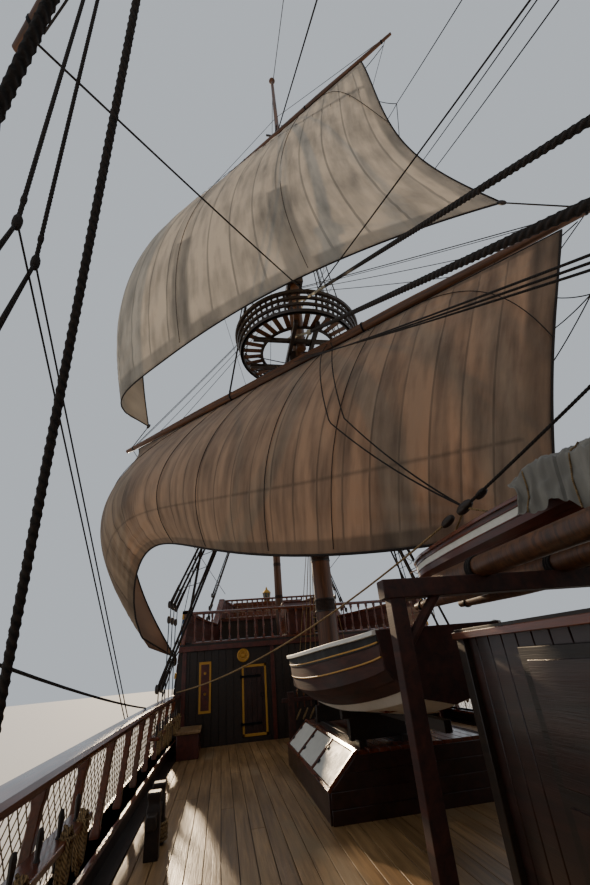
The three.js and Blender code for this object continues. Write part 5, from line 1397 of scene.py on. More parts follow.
def waist_rails():
    """Open rails along the waist: covering board, stanchions, a broad varnished cap, pin rail and rope netting."""
    for hand, name in ((1, "waist_rail_port"), (-1, "waist_rail_starboard")):
        xs, made = steps(CASTLE_BREAK + 0.001, FORE_BREAK - 0.001, 44), Shape(MAHOGANY, OAK, IRON)
        inboard = lambda x, z, w: vec(x, hand * (side(x, z) - w), z)
        run(made, xs, level(WAIST), level(WAIST + COAMING), 0.04, -0.2, hand, 1)
        run(made, xs, level(WAIST + COAMING - 0.055), level(WAIST + COAMING), 0.075, -0.23, hand)
        cap_rail(made, xs, level(RAIL_TOP), 0.05, -0.19, hand)
        for x in steps(CASTLE_BREAK + 0.5, FORE_BREAK - 0.5, 12):
            foot, head = (inboard(x, z, 0.09) for z in (WAIST + COAMING - 0.04, RAIL_TOP - 0.06))
            made.loft([[foot.lerp(head, t) + vec(a * w, b * w, 0) for a, b in SQUARE] for t, w in (
                (0, 0.045), (0.1, 0.045), (0.16, 0.034), (0.84, 0.032), (0.9, 0.042), (1, 0.042))])
        for x0, x1 in ((-2.8, 0.6), (4.6, 8.8)):
            made.loft([[inboard(x, z, w) for w, z in corners(0.13, 0.29, 2.0, 2.05)]
                       for x in steps(x0, x1, 8)])
        made.piece(name + "_timber", "ship", [name], "varnished_rail", bevel=0.006)
        spots = [inboard(x, 2.05, 0.22) for x in [*steps(-2.6, 0.4, 8), *steps(4.8, 8.6, 10)]]
        scatter(name + "_pins", pin(), [upright(p) for p in spots], OAK, "ship")
        coils = [(hank(p, hand, 10 + k), 0.011) for k, p in enumerate(spots) if k % 4 != 3]
        ropes(name + "_coils", coils, MANILA, "ship", step=0.05)
        net, mesh, low, high = [], 0.13, WAIST + COAMING + 0.03, RAIL_TOP - 0.08
        for k in range(int((FORE_BREAK - CASTLE_BREAK + 1) / mesh)):
            for way in HANDS:
                start = CASTLE_BREAK - (0.9 if way > 0 else 0) + k * mesh
                path = [inboard(start + way * (z - low), z - 0.015 * sin((z - low) * 30), 0.01)
                        for z in steps(low, high, 6)]
                path = [p for p in path if CASTLE_BREAK + 0.02 < p.x < FORE_BREAK - 0.02]
                if len(path) > 1:
                    net.append((path, 0.0042))
        ropes(name + "_netting", net, MANILA, "ship", sides=4, step=0.14)


def castle_walls():
    """Inner planks and caps of the bulwarks, and the rails at the breaks."""
    inner, caps = Shape(RED_BROWN), Shape(MAHOGANY)
    above = lambda top, rise: lambda x: top(x) + rise
    walls = ((POOP_BREAK, CASTLE_BREAK, 0, 0, quarterdeck, wall_top, 24),
             (STERN, POOP_BREAK, 0.15, 0, poop, above(poop, BULWARK), 12),
             (FORE_BREAK, STEM, 0, 0.4, forecastle, above(forecastle, BULWARK), 20))
    for hand in HANDS:
        for x0, x1, aft, fore, floor, top, count in walls:
            planked(inner, x0 + aft, x1 - fore, above(floor, 0.03), above(top, -0.08), 0.19, -0.13, -0.1, hand)
            cap_rail(caps, steps(x0, x1, count), above(top, 0.004), 0.058, -0.173, hand, 0.083)
    inner.piece("bulwark_inner_planks", "ship", finish="varnished_rail", bevel=0.004)
    caps.piece("bulwark_caps", "ship", finish="varnished_rail")
    for x, deck_at, gate, name in ((CASTLE_BREAK - 0.08, quarterdeck, 0, "quarterdeck_rail"),
                                   (POOP_BREAK - 0.08, poop, 0, "poop_rail"),
                                   (FORE_BREAK + 0.08, forecastle, 0.25, "forecastle_break_rail")):
        made, height, low = Shape(MAHOGANY), 0.72, deck_at(x)
        seat, reach = raked(x, 0, low).x, side(x, low + height) - 0.21
        spans = [(-reach, -gate), (gate, reach)] if gate else [(-reach, reach)]
        for a, b in spans:
            for y in steps(a + 0.06, b - 0.06, int((b - a) / 0.225)):
                baluster(made, seat, y, low + 0.04, low + height, 0.032)
        for h, w, t, runs in ((0.0, 0.06, 0.05, [(-reach, reach)]), (height, 0.075, 0.07, spans)):
            for a, b in runs:
                made.loft([[vec(seat + d, y, low + h + e) for d, e in (
                    (-w, 0), (w, 0), (w, t * 0.7), (w * 0.6, t), (-w * 0.6, t), (-w, t * 0.7))]
                    for y in steps(a, b, 8)])
        made.piece(name + "_timber", "ship", [name], "varnished_rail", bevel=0.004)


def bulkheads():
    """The bulkhead at the quarterdeck's break with pilasters, panel and ornament, and the others like it."""
    made = Shape(OAK, OCHRE, RED_BROWN, GLASS, BRASS)
    for x, z0, z1, reach, way in ((CASTLE_BREAK, WAIST, quarterdeck(CASTLE_BREAK) - 0.17, 3.36, 1),
                                  (POOP_BREAK, quarterdeck(POOP_BREAK), poop(POOP_BREAK) - 0.12, 2.72, 1),
                                  (FORE_BREAK, WAIST, forecastle(FORE_BREAK) - 0.12, 3.25, -1)):
        aft, fore = (0.01, 0.028)[::way]
        for y in steps(-reach, reach - 0.185, int(reach * 2 / 0.185)):
            if x != CASTLE_BREAK or not 1.1 < abs(y + 0.09) < 2.0:
                made.block((x - aft, y + 0.004, z0), (x + fore, y + 0.181, z1))
        for y in (-reach, -reach * 0.335, reach * 0.335, reach - 0.1):
            made.block((x - 0.02, y, z0), (x + way * 0.06, y + 0.1, z1), 2)
        made.block((x - 0.05, -reach - 0.1, z1), (x + way * 0.1, reach + 0.1, z1 + 0.12), 2)
    x = CASTLE_BREAK
    for hand in HANDS:
        y = hand * 2.79
        made.block((x, y - 0.15, 2.0), (x + 0.05, y + 0.15, 3.12), 1)
        made.block((x, y - 0.1, 2.06), (x + 0.058, y + 0.1, 3.06), 2)
        for a in around(3):
            spot = (x + 0.055, y, 2.56 + 0.3 * cos(a))
            made.turned([(0.035, 0), (0.03, 0.02), (0, 0.026)], spot, ALONG, 10, 1)
        rose = vec(x + 0.028, hand * 1.83, 3.2)
        made.turned([(0.16, 0), (0.16, 0.03), (0.13, 0.045), (0.1, 0.03), (0.06, 0.035), (0.045, 0.06), (0, 0.065)],
                    rose, ALONG, 24, 1)
        for a in around(8):
            made.turned([(0.02, 0), (0.017, 0.02), (0, 0.03)], rose + vec(0.03, 0.08 * cos(a), 0.08 * sin(a)),
                        ALONG, 8, 1)
    made.piece("bulkhead_boards", "ship", finish="tarred_timber", bevel=0.004)


def quarter_windows():
    """Five small framed windows with crossed bars in each side of the aft castle."""
    made = Shape(OCHRE, GLASS)
    for hand in HANDS:
        for x in (-12.6, -11.8, -8.2, -7.2, -6.2):
            low = quarterdeck(x) - 0.54
            for x0, x1, z0, z1, out, slot in (
                    (-0.2, 0.2, 0, 0.42, 0.032, 1), (-0.27, 0.27, -0.06, 0, 0.07, 0),
                    (-0.27, 0.27, 0.42, 0.48, 0.07, 0), (-0.27, -0.2, 0, 0.42, 0.06, 0), (0.2, 0.27, 0, 0.42, 0.06, 0),
                    (-0.012, 0.012, 0, 0.42, 0.046, 0), (-0.2, 0.2, 0.2, 0.224, 0.045, 0)):
                run(made, steps(x + x0, x + x1, 2), level(low + z0), level(low + z1), out, -0.01, hand, slot)
    made.piece("quarter_windows", "ship", finish="ochre_paint", bevel=0.004)


def doors():
    """Cabin doors of upright boards in a thin ochre edge, with strap hinges, their pins and a ring."""
    for hand, name, body in ((1, "door_port", "port_door"), (-1, "door_starboard", "starboard_door")):
        low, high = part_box(name)
        made, x = Shape(STAINED, IRON, OCHRE), CASTLE_BREAK + 0.004
        pin_y = (high if hand > 0 else low)[1] - hand * 0.026
        y0, y1 = sorted((pin_y - hand * 0.022, (low if hand > 0 else high)[1]))
        for a, b in zip(steps(y0, y1, 5), steps(y0, y1, 5)[1:]):
            made.block((low[0], a + 0.002, low[2]), (x - 0.008, b - 0.002, high[2]))
        for ya, yb, za, zb in ((y0, y0 + 0.05, low[2], high[2]), (y1 - 0.05, y1, low[2], high[2]),
                               (y0, y1, low[2], low[2] + 0.06), (y0, y1, high[2] - 0.06, high[2])):
            made.block((x - 0.012, ya, za), (x, yb, zb), 2)
        for z in (low[2] + 0.26, low[2] + 1.28):
            a, b = sorted((pin_y, pin_y - hand * 0.5))
            made.block((x - 0.004, a, z - 0.026), (x + 0.016, b, z + 0.026), 1)
            made.bar((x + 0.03, pin_y, z - 0.045), (x + 0.03, pin_y, z + 0.045), 0.024, sides=10, slot=1)
            for k in range(4):
                made.turned([(0.011, 0), (0.008, 0.006), (0, 0.008)], (x + 0.015, pin_y - hand * (0.1 + 0.12 * k), z),
                            ALONG, 8, 1)
        ring = (x + 0.002, (y0 if hand > 0 else y1) + hand * 0.12, low[2] + 0.85)
        made.band(ring, ALONG, 0.035, 0.047, 0.012, 18, 1)
        made.piece(name + "_boards", body, [name], "painted_panel", bevel=0.003)


def stern():
    """The flat of the stern: windows in carved frames, mouldings, a painted upper panel and a lantern."""
    made, back = Shape(OAK, OCHRE, BLUE, GLASS, BRASS, RED_BROWN), (-1, 0, 0)
    face = lambda y, z, off=0.0: raked(STERN, y, z) - vec(off, 0, 0)
    panel = lambda y0, y1, z0, z1, off, slot: made.loft(
        [[face(y, z, d) for y, d in corners(y0, y1, -0.03, off)] for z in (z0, z1)], slot)
    for z in steps(1.34, 5.0, 17):
        reach = side(STERN, z)
        panel(-reach, reach, z, z + 0.205, 0.016, 0 if z < 2.2 else 5 if z < 3.4 else 2)
    for y in steps(-1.44, 1.44, 4):
        panel(y - 0.27, y + 0.27, 2.28, 3.16, 0.05, 1)
        panel(y - 0.21, y + 0.21, 2.34, 3.1, 0.056, 3)
        for dy in (-0.07, 0.07):
            panel(y + dy - 0.008, y + dy + 0.008, 2.34, 3.1, 0.064, 1)
        for dz in (2.53, 2.72, 2.91):
            panel(y - 0.21, y + 0.21, dz - 0.008, dz + 0.008, 0.063, 1)
    for z, tall in ((1.3, 0.1), (2.08, 0.13), (3.3, 0.13), (3.95, 0.08), (poop(STERN) + 0.02, 0.1)):
        reach = side(STERN, z) + 0.04
        panel(-reach, reach, z, z + tall, 0.06, 1)
    for y in steps(-1.8, 1.8, 5):
        panel(y - 0.045, y + 0.045, 2.2, 3.32, 0.075, 5)
        made.turned([(0.1, 0), (0.085, 0.05), (0, 0.07)], face(y, 3.66, 0.02), back, 12, 1)
    top = poop(STERN) + BULWARK
    for y in steps(-1.4, 1.4, 2):
        made.turned([(0.26, 0), (0.25, 0.03), (0.2, 0.045), (0.17, 0.03), (0.1, 0.04), (0.07, 0.075), (0, 0.08)],
                    face(y, top - 0.42, 0.01), back, 24, 1)
    made.piece("stern_face", "ship", finish="ochre_paint", bevel=0.004)
    lamp = Shape(BRASS, GLASS)
    base = face(0, top + 0.12, 0.18)
    lamp.turned([(0, -0.25), (0.03, -0.2), (0.03, 0), (0.16, 0.03), (0.17, 0.06), (0, 0.06)], base, sides=8)
    lamp.turned([(0, 0.06), (0.14, 0.062), (0.2, 0.46), (0, 0.465)], base, sides=8, slot=1)
    for a in around(8):
        lamp.bar(base + polar(0.145, a, 0.06), base + polar(0.205, a, 0.46), 0.009, sides=5)
    lamp.turned([(0.23, 0.46), (0.23, 0.49), (0.13, 0.6), (0.05, 0.66), (0.05, 0.72), (0.02, 0.76), (0, 0.8)], base,
                sides=8)
    lamp.piece("stern_lantern", "ship", finish="ochre_paint", angle=20)


# Boats and deck gear

BOATS = {
    "long_boat": dict(at=(2.25, -0.4, 2.31), length=5.5, beam=2.0, depth=0.72, bands=(2, 2, 2, 2, 1, 1, 1, 1, 3),
                      trim=4, edge=2),
    "jolly_boat": dict(at=(3.9, 1.25, 3.792), length=4.7, beam=1.5, depth=0.44, bands=(1, 1, 1, 1, 1, 1, 1, 2, 1),
                       trim=0, edge=0),
}
BOAT_ROWS = [0.62, 0.86, 0.98, 1.0, 0.96, 0.84, 0.56, 0.1]


def boat_section(spec, f, h, shrink=0.0):
    """A point of a boat's skin: f runs from the transom to the stem, h from the keel to the gunwale."""
    k = clamp(f) * (len(BOAT_ROWS) - 1)
    i = min(int(k), len(BOAT_ROWS) - 2)
    a, b, c, d = (BOAT_ROWS[min(max(j, 0), len(BOAT_ROWS) - 1)] for j in range(i - 1, i + 3))
    t = k - i
    wide = b + 0.5 * t * (c - a + t * (2 * a - 5 * b + 4 * c - d + t * (3 * (b - c) + d - a)))
    half, end, depth = max(wide * spec["beam"] / 2 - shrink, 0.015), abs(2 * f - 1), spec["depth"]
    rise = 0.28 * depth * end ** 3
    marks = [(0, rise), (half * 0.55, rise + depth * 0.12), (half * 0.92, rise + depth * 0.45),
             (half, depth + 0.16 * depth * end ** 2)]
    j = min(int(h * 3), 2)
    (y0, z0), (y1, z1) = marks[j], marks[j + 1]
    q = h * 3 - j
    # The corners between the straight stretches are eased by a bulge that is nothing at each end
    swell = 0.05 * half * sin(pi * h) ** 2
    return vec((0.5 - f) * spec["length"], mix(y0, y1, q) + swell * 0.5,
               mix(z0, z1, q) + shrink * (1 - h) - swell * 0.25)


def boat(name):
    """Clinker boat: lapped planks painted in bands, gunwale and rubbing strake, ribs, thwarts and transom."""
    spec = BOATS[name]
    length, depth, count, fs = spec["length"], spec["depth"], len(spec["bands"]), steps(0, 1, 34)
    made = Shape(MAHOGANY, DARK_RED if name == "long_boat" else RED_BROWN, WHITE, BLACK, OCHRE, OAK)
    base = Vector(spec["at"])
    skin = lambda f, h, hand, shrink=0.0, out=0.0, up=0.0: base + (
        boat_section(spec, f, h, shrink) + vec(0, out, up)) * vec(1, hand, 1)
    for hand in HANDS:
        for k, tone in enumerate(spec["bands"]):
            h0, h1 = max(k / count - 0.012, 0), (k + 1) / count
            made.loft([[skin(f, h0, hand, 0, 0.012, -0.004), skin(f, h1, hand, 0, 0.002), skin(f, h1, hand, 0.03),
                        skin(f, h0, hand, 0.03)] for f in fs], tone)
        for h, out, deep, tone in ((1.0, 0.035, 0.04, spec["edge"]), (0.9, 0.014, 0.014, spec["trim"]),
                                   (0.775, 0.014, 0.014, spec["trim"])):
            made.loft([[skin(f, h, hand, 0, y, z) for y, z in ((out, -deep), (out, 0), (-0.04, 0.012), (-0.04, -deep))]
                       for f in fs], tone)
        for f in steps(0.06, 0.94, 22):
            made.loft([[skin(f + d, h, hand, e) for d, e in corners(-0.004, 0.004, 0.028, 0.05)]
                       for h in steps(0.04, 0.97, 8)])
        made.loft([[skin(f, 0.74, hand, w, 0, d) for d, w in corners(0, 0.03, 0.03, 0.09)]
                   for f in steps(0.05, 0.9, 12)])
    made.loft([[skin(0, h, 1) + vec(d, 0, 0) for h in steps(0, 1, 9)]
               + [skin(0, h, -1) + vec(d, 0, 0) for h in steps(1, 0, 9)] for d in (-0.03, 0.012)], 1)
    for f in (0.24, 0.5, 0.76):
        p = boat_section(spec, f, 0.8, 0.03)
        made.post(base.x + p.x, base.y, 0.11, p.y, base.z + depth * 0.74, base.z + depth * 0.74 + 0.04)
    for y in (-0.3, -0.1, 0.1, 0.3):
        made.block((base.x - length * 0.33, base.y + y - 0.08, base.z + 0.11),
                   (base.x + length * 0.36, base.y + y + 0.08, base.z + 0.13))
    made.loft([[base + vec(x * length - o, y, z) for y, o in ((-0.035, 0), (0.035, 0), (0.03, -0.06), (-0.03, -0.06))]
               for x, z in ((-0.4, -0.03), (-0.47, 0.16), (-0.5, depth * 1.16))], 5)
    made.block((base.x - 0.42 * length, base.y - 0.035, base.z - 0.03),
               (base.x + 0.46 * length, base.y + 0.035, base.z + 0.07), 5)
    made.piece(name + "_planks", "ship", [name], "varnished_rail", bevel=0.003)


def boat_cover():
    """A crumpled canvas cover thrown over the jolly boat's fore end and lashed down with two lines."""
    spec = BOATS["jolly_boat"]
    base, made, rows, columns = Vector(spec["at"]), Shape(COVER), 52, 84

    def cover(f, v, off=0.0):
        edge, hand, far = boat_section(spec, clamp(f), 1), copysign(1, v), abs(v)
        over = max(far - 0.72, 0) / 0.28
        lump = noise.noise(vec(f * 13, v * 2.6, 1))
        crease = 0.5 - abs(noise.noise(vec(f * 22 + v * 2, v * 5 - f * 16, 4))) * 1.9
        crease += 0.2 - abs(noise.noise(vec(f * 34 - v * 5, v * 9 + f * 20, 3))) * 1.1
        f += max(f - 0.1, 0) * noise.noise(vec(v * 4, 2, 9)) * 0.9
        y = hand * (clamp(far / 0.72) * (1.1 * edge.y + 0.045) + off * over + over * (0.045 * crease + 0.05))
        z = edge.z + 0.06 + 0.16 * (1 - min(far / 0.72, 1) ** 2)
        z -= over * 0.34 * (1 + 0.5 * noise.noise(vec(f * 16, v * 2, 7)))
        z += (0.14 * lump + 0.06) * (1 - over) + 0.055 * crease + off * (1 - over)
        fall = 1 - clamp((f + 0.04) / 0.035)
        return base + vec((0.5 - f) * spec["length"] + 0.02 * crease + 0.02 * fall, y, z - 0.26 * fall)

    wide = columns + 1
    points = [cover(mix(-0.04, 0.17, i / rows), v) for i in range(rows + 1) for v in steps(-1, 1, columns)]
    across = sum((points[k + j + 1] - points[k + j]).length for k in range(0, len(points), wide)
                 for j in range(columns)) / (rows + 1)
    ahead = sum((b - a).length for a, b in zip(points, points[wide:])) / wide
    uv = [(i / rows * ahead, j / columns * across) for i in range(rows + 1) for j in range(wide)]
    made.add(points, [face[:1] + face[:0:-1] for face in grid(rows, columns)], uv=uv)
    sheet = made.piece("jolly_boat_cover", "ship", finish="sail_canvas", angle=180)
    sheet.data.calc_loop_triangles()
    ropes("jolly_boat_cover_ties", [([cover(f + 0.01 * sin(5 * v), v, 0.014) for v in steps(-1, 1, 40)], 0.008)
                                    for f in (0.03, 0.125)], MANILA, "ship", step=0.05)


def skylight():
    """A box with white sloping shutters on both sides and boarded ends."""
    made, z = Shape(MAHOGANY, WHITE, STAINED, OAK, IRON), WAIST + GAP
    foot, ridge, sill, rise = 1.18, 0.81, 0.31, 0.335
    slope = lambda hand, t, x, off=0.0: vec(x, hand * (mix(foot, ridge, t) + off * 0.67),
                                            z + mix(sill, sill + rise, t) + off * 0.74)
    slab = lambda hand, xs, t0, t1, low, high, slot=0: made.loft(
        [[slope(hand, t, x, h) for h, t in corners(low, high, t0, t1)] for x in xs], slot)
    for hand in HANDS:
        y0, y1 = sorted((hand * 1.13, hand * 1.2))
        made.block((-0.2, y0, z), (3.1, y1, z + sill), 2)
        slab(hand, (-0.2, 3.1), -0.02, 1, -0.05, 0.004, 3)
        for x in steps(-0.2, 2.0, 2):
            slab(hand, (x + 0.065, x + 1.035), 0.07, 0.93, 0, 0.024, 1)
            for t in (0.3, 0.7):
                made.bar(slope(hand, t, x + 0.12, 0.03), slope(hand, t, x + 0.12, 0.045), 0.03, sides=10, slot=4)
        for x in (-0.2, 0.865, 1.965, 3.04):
            slab(hand, (x, x + 0.06), 0, 1, 0, 0.035)
        for t in (-0.03, 0.94):
            slab(hand, (-0.23, 3.13), t, t + 0.09, 0, 0.038)
    for y in steps(-0.81, 0.675, 11):
        made.block((-0.22, y + 0.003, z + 0.6), (3.12, y + 0.132, z + 0.66))
    for x0, x1 in ((-0.24, -0.2), (3.1, 3.14)):
        for k in range(4):
            low, high = 0.155 * k + 0.003, 0.155 * (k + 1)
            half = lambda h: foot if h < sill else mix(foot, ridge, (h - sill) / rise)
            made.loft([[vec(x, y * half(h), z + h) for y, h in corners(-1, 1, low, high)] for x in (x0, x1)], 2)
    made.piece("skylight_shutters", "ship", ["skylight"], "painted_panel", bevel=0.004)


def galley():
    """Deckhouse of upright boards with corner posts, a plank roof, a door and a stove pipe."""
    box, z = Shape(STAINED, MAHOGANY, OAK, IRON, BRASS), WAIST + GAP
    x0, x1, y0, y1, top = 5.7, 7.9, -0.55, 1.95, 3.02
    for y in steps(y0, y1 - 0.167, 14):
        for a, b in ((x0 - 0.005, x0 + 0.03), (x1 - 0.03, x1 + 0.005)):
            box.block((a, y + 0.003, z), (b, y + 0.164, top))
    for x in steps(x0, x1 - 0.157, 13):
        for a, b in ((y0 - 0.005, y0 + 0.03), (y1 - 0.03, y1 + 0.005)):
            box.block((x + 0.003, a, z), (x + 0.154, b, top))
    for x in (x0, x1):
        for y in (y0, y1):
            box.post(x, y, 0.05, 0.05, z, top, 2)
    box.block((x0 - 0.02, y0 - 0.02, z), (x1 + 0.02, y1 + 0.02, z + 0.14), 2)
    for y in steps(y0 - 0.06, y1 - 0.1, 15):
        box.block((x0 - 0.06, y + 0.002, top), (x1 + 0.06, y + 0.158, top + 0.05), 2)
    eaves = corners(x0 - 0.07, x1 + 0.07, y0 - 0.07, y1 + 0.07)
    box.loft([[vec(x, y, h) for x, y in eaves] for h in (top - 0.02, top + 0.03)], 1)
    box.block((6.35, y0 - 0.035, z + 0.2), (7.15, y0, z + 1.62), 2)
    for low, high in ((0.26, 0.86), (0.94, 1.55)):
        box.block((6.42, y0 - 0.045, z + low), (7.08, y0, z + high))
    box.turned([(0.02, 0), (0.02, 0.03), (0.035, 0.04), (0.03, 0.07), (0, 0.075)], (6.98, y0 - 0.04, z + 0.9),
               (0, -1, 0), 12, 4)
    box.turned([(0.13, 0), (0.13, 0.06), (0.1, 0.08), (0.1, 0.2), (0, 0.21)], (7.6, 1.6, top + 0.05), sides=20, slot=3)
    box.piece("galley_boards", "ship", ["galley"], "galley_paint", bevel=0.005)


def companion():
    """The hood over the way down from the quarterdeck, with panelled sides and a lip."""
    hood, low = Shape(MAHOGANY, RED_BROWN, BRASS), quarterdeck(-4.0)
    for a, b, h0, h1 in ((-4.56, -3.49, 0, 0.06), (-4.56, -3.7, 0.87, 0.93)):
        hood.block((a, -0.635, low + h0), (b, 0.135, low + h1))
    hood.loft([[vec(x, y, low + h) for x, h in ((-4.55, 0.0), (-3.5, 0.0), (-3.5, 0.7), (-3.7, 0.9), (-4.55, 0.93))]
               for y in (-0.62, 0.12)], 1)
    for y in (-0.635, 0.121):
        for x in steps(-4.5, -3.78, 4):
            hood.block((x, y, low + 0.1), (x + 0.12, y + 0.014, low + 0.84))
    hood.loft([[vec(-3.7 + d, y, low + 0.9 + d) for d in (0, 0.02, 0.02)] for y in (-0.63, 0.13)])
    hood.piece("companion_hood_boards", "ship", ["companion_hood"], "varnished_rail", bevel=0.006)


def cradle(made, name, x, reach, low):
    """A crutch shaped to a boat's bottom, on both sides of its keel."""
    base, spec = Vector(BOATS[name]["at"]), BOATS[name]
    f = 0.5 - (x - base.x) / spec["length"]
    under = [boat_section(spec, f, h) - vec(0, 0, 0.034) for h in steps(0, reach, 6)]
    for hand in HANDS:
        made.loft([[vec(x + d, base.y + hand * p.y, base.z + p.z) for p in under]
                   + [vec(x + d, base.y + hand * under[-1].y, low), vec(x + d, base.y, low)] for d in (-0.06, 0.06)])


def gallows():
    """Boat chocks, and the gallows that hold the spare spars and the jolly boat."""
    made, z, keel = Shape(OAK, TARRED), WAIST, Vector(BOATS["long_boat"]["at"])
    foot = z + 0.6456
    for hand in HANDS:
        made.block((0.15, keel.y + hand * 0.28 - 0.05, foot), (2.95, keel.y + hand * 0.28 + 0.05, foot + 0.085))
    for x in (0.6, 2.7):
        made.post(x, keel.y, 0.06, 0.38, foot + 0.055, 2.25)
        cradle(made, "long_boat", x, 0.27, 2.24)
    made.piece("boat_chocks_timber", "ship", ["boat_chocks"], "tarred_timber", bevel=0.008)
    rack = Shape(DARK_RED, PINE, IRON, TARRED)
    for x, y, low in ((5.26, -0.88, z), (5.26, 2.08, z), (7.2, -0.3, 3.0903), (7.2, 1.7, 3.0903)):
        rack.post(x, y, 0.07, 0.07, low, 3.53)
    rack.block((5.18, -1.0, 3.37), (5.34, 2.2, 3.53))
    rack.block((7.12, -0.45, 3.37), (7.28, 1.85, 3.53))
    for hand, y in ((1, -0.88), (-1, 2.08)):
        rack.bar((5.26, y + hand * 0.05, 3.0), (5.26, y + hand * 0.4, 3.4), 0.045, sides=8)
    for y, aft, fore in ((0, 3.0, 9.3), (0.85, 1.9, 8.9), (1.65, 1.9, 8.6)):
        long = fore - aft
        rack.turned([(0, 0), (0.055, 0.01), (0.075, 0.5), (0.1, 1.6), (0.1, long * 0.6), (0.07, long - 0.4),
                     (0.055, long - 0.01), (0, long)], (aft, y, 3.6), ALONG, 24, 1)
        for x in (aft + 0.2, fore - 0.2):
            rack.band((x, y, 3.6), ALONG, 0.05, 0.082, 0.05, slot=2)
        for x in (5.26, 7.2):
            for d in (-0.05, -0.018, 0.014):
                rack.band((x + d, y, 3.59), ALONG, 0.1, 0.124, 0.026, slot=3)
    for x in (2.6, 4.9):
        cradle(rack, "jolly_boat", x, 0.36, 3.66)
    rack.piece("gallows_timber", "ship", ["gallows_and_spars"], "oiled_spar", bevel=0.006)


def bitts():
    """Two pairs of posts with a cross piece and turns of rope, one at each side of the waist."""
    for y, name in ((-3.08, "bitts_starboard"), (3.08, "bitts_port")):
        post = Shape(OAK, MANILA)
        for x in (2.79, 3.21):
            post.loft([[vec(x + a * w, y + b * w, h) for a, b in SQUARE] for h, w in (
                (WAIST, 0.07), (1.72, 0.07), (1.75, 0.06), (1.79, 0.06), (1.82, 0.07), (1.85, 0.07), (1.86, 0.06))])
        post.post(3.0, y, 0.42, 0.05, 1.58, 1.7)
        post.piece(name + "_timber", "ship", [name], "tarred_timber", bevel=0.01)
        belay = [vec(2.79 + 0.1 * cos(a), y + 0.1 * sin(a), 1.36 + 0.034 * k + 0.034 * (a % tau) / tau)
                 for k in range(5) for a in around(16, k * 0.4)]
        ropes(name + "_turns", [(belay, 0.015)], MANILA, "ship", sides=7, step=0.03)


def capstan():
    """The capstan's drum with its whelps and the iron-edged holes for the bars."""
    drum, at = Shape(OAK, IRON, MAHOGANY), vec(-2.3, 0, WAIST)
    drum.turned([(0, 0.02), (0.33, 0.02), (0.33, 0.08), (0.21, 0.12), (0.185, 0.56), (0.25, 0.64), (0.26, 0.7),
                 (0.26, 0.84), (0.2, 0.88), (0, 0.88)], at, sides=28)
    for a in around(6):
        turn = Matrix.Translation(at) @ Matrix.Rotation(a, 4, "Z")
        drum.loft([[turn @ vec(r, y, h) for r, y in ((0.15, -0.035), (out, -0.03), (out, 0.03), (0.15, 0.035))]
                   for h, out in ((0.1, 0.3), (0.2, 0.245), (0.5, 0.225), (0.6, 0.26))])
        drum.block((0.248, -0.035, 0.735), (0.268, 0.035, 0.805), 1, turn)
    for z in (0.7, 0.81):
        drum.band(at + vec(0, 0, z), UP, 0.25, 0.268, 0.03, slot=1)
    drum.piece("capstan_drum_timber", "capstan_drum", ["capstan"], "tarred_timber", bevel=0.004)


def ladder(made, x, y, low, high, way):
    """A steep ladder of two strings and its treads, leaning against a bulkhead at x."""
    foot, head, half, rise = x + (high - low) * 0.36 * way, x + 0.03 * way, 0.3, 0.27
    for hand in HANDS:
        made.loft([[p + vec(d, hand * t, 0) for d, t in corners(-0.08, 0.08, 0, 0.035)]
                   for p in (vec(foot, y + hand * half, low), vec(head, y + hand * half, high))])
    count = round((high - low) / rise)
    for k in range(1, count):
        z = low + rise * k
        made.post(mix(foot, head, k / count), y, 0.1, half - GAP, z - 0.016, z + 0.016, 1)


def mast_rack():
    """Pin rail abaft the main mast, with the falls that come down to it from the top."""
    made, lines = Shape(DARK_RED, MAHOGANY), []
    x, low, high = MAIN.x - 0.7, WAIST + 0.02, WAIST + 0.95
    for hand in HANDS:
        made.post(x, hand * 0.85, 0.07, 0.07, low, high + 0.1)
    made.post(x, 0, 0.06, 1.05, high - 0.1, high - 0.02)
    for k, y in enumerate(steps(-0.7, 0.7, 9)):
        made.turned([(0, -0.22), (0.014, -0.21), (0.016, 0), (0.024, 0.02), (0.016, 0.14), (0, 0.15)], (x, y, high),
                    slot=1, sides=10)
        a = pi + (y / 0.7) * 1.1
        head = vec(MAIN.x + 0.75 * cos(a), 0.75 * sin(a), RIG["main"]["floor"] - 0.2)
        lines.append((line(head, vec(x + 0.02, y, high + 0.02), sag=0.003, count=8), 0.009 + 0.002 * (k % 3)))
        hang = [vec(x + 0.03 + 0.05 * sin(t), y + 0.06 * cos(t), high - 0.24 - 0.2 * sin(t / 2) ** 2)
                for t in around(28)]
        lines.append((hang + hang[:2], 0.012))
    made.piece("mast_rack", "ship", finish="varnished_rail", bevel=0.006)
    ropes("mast_falls", lines, MANILA, "ship", step=0.03)


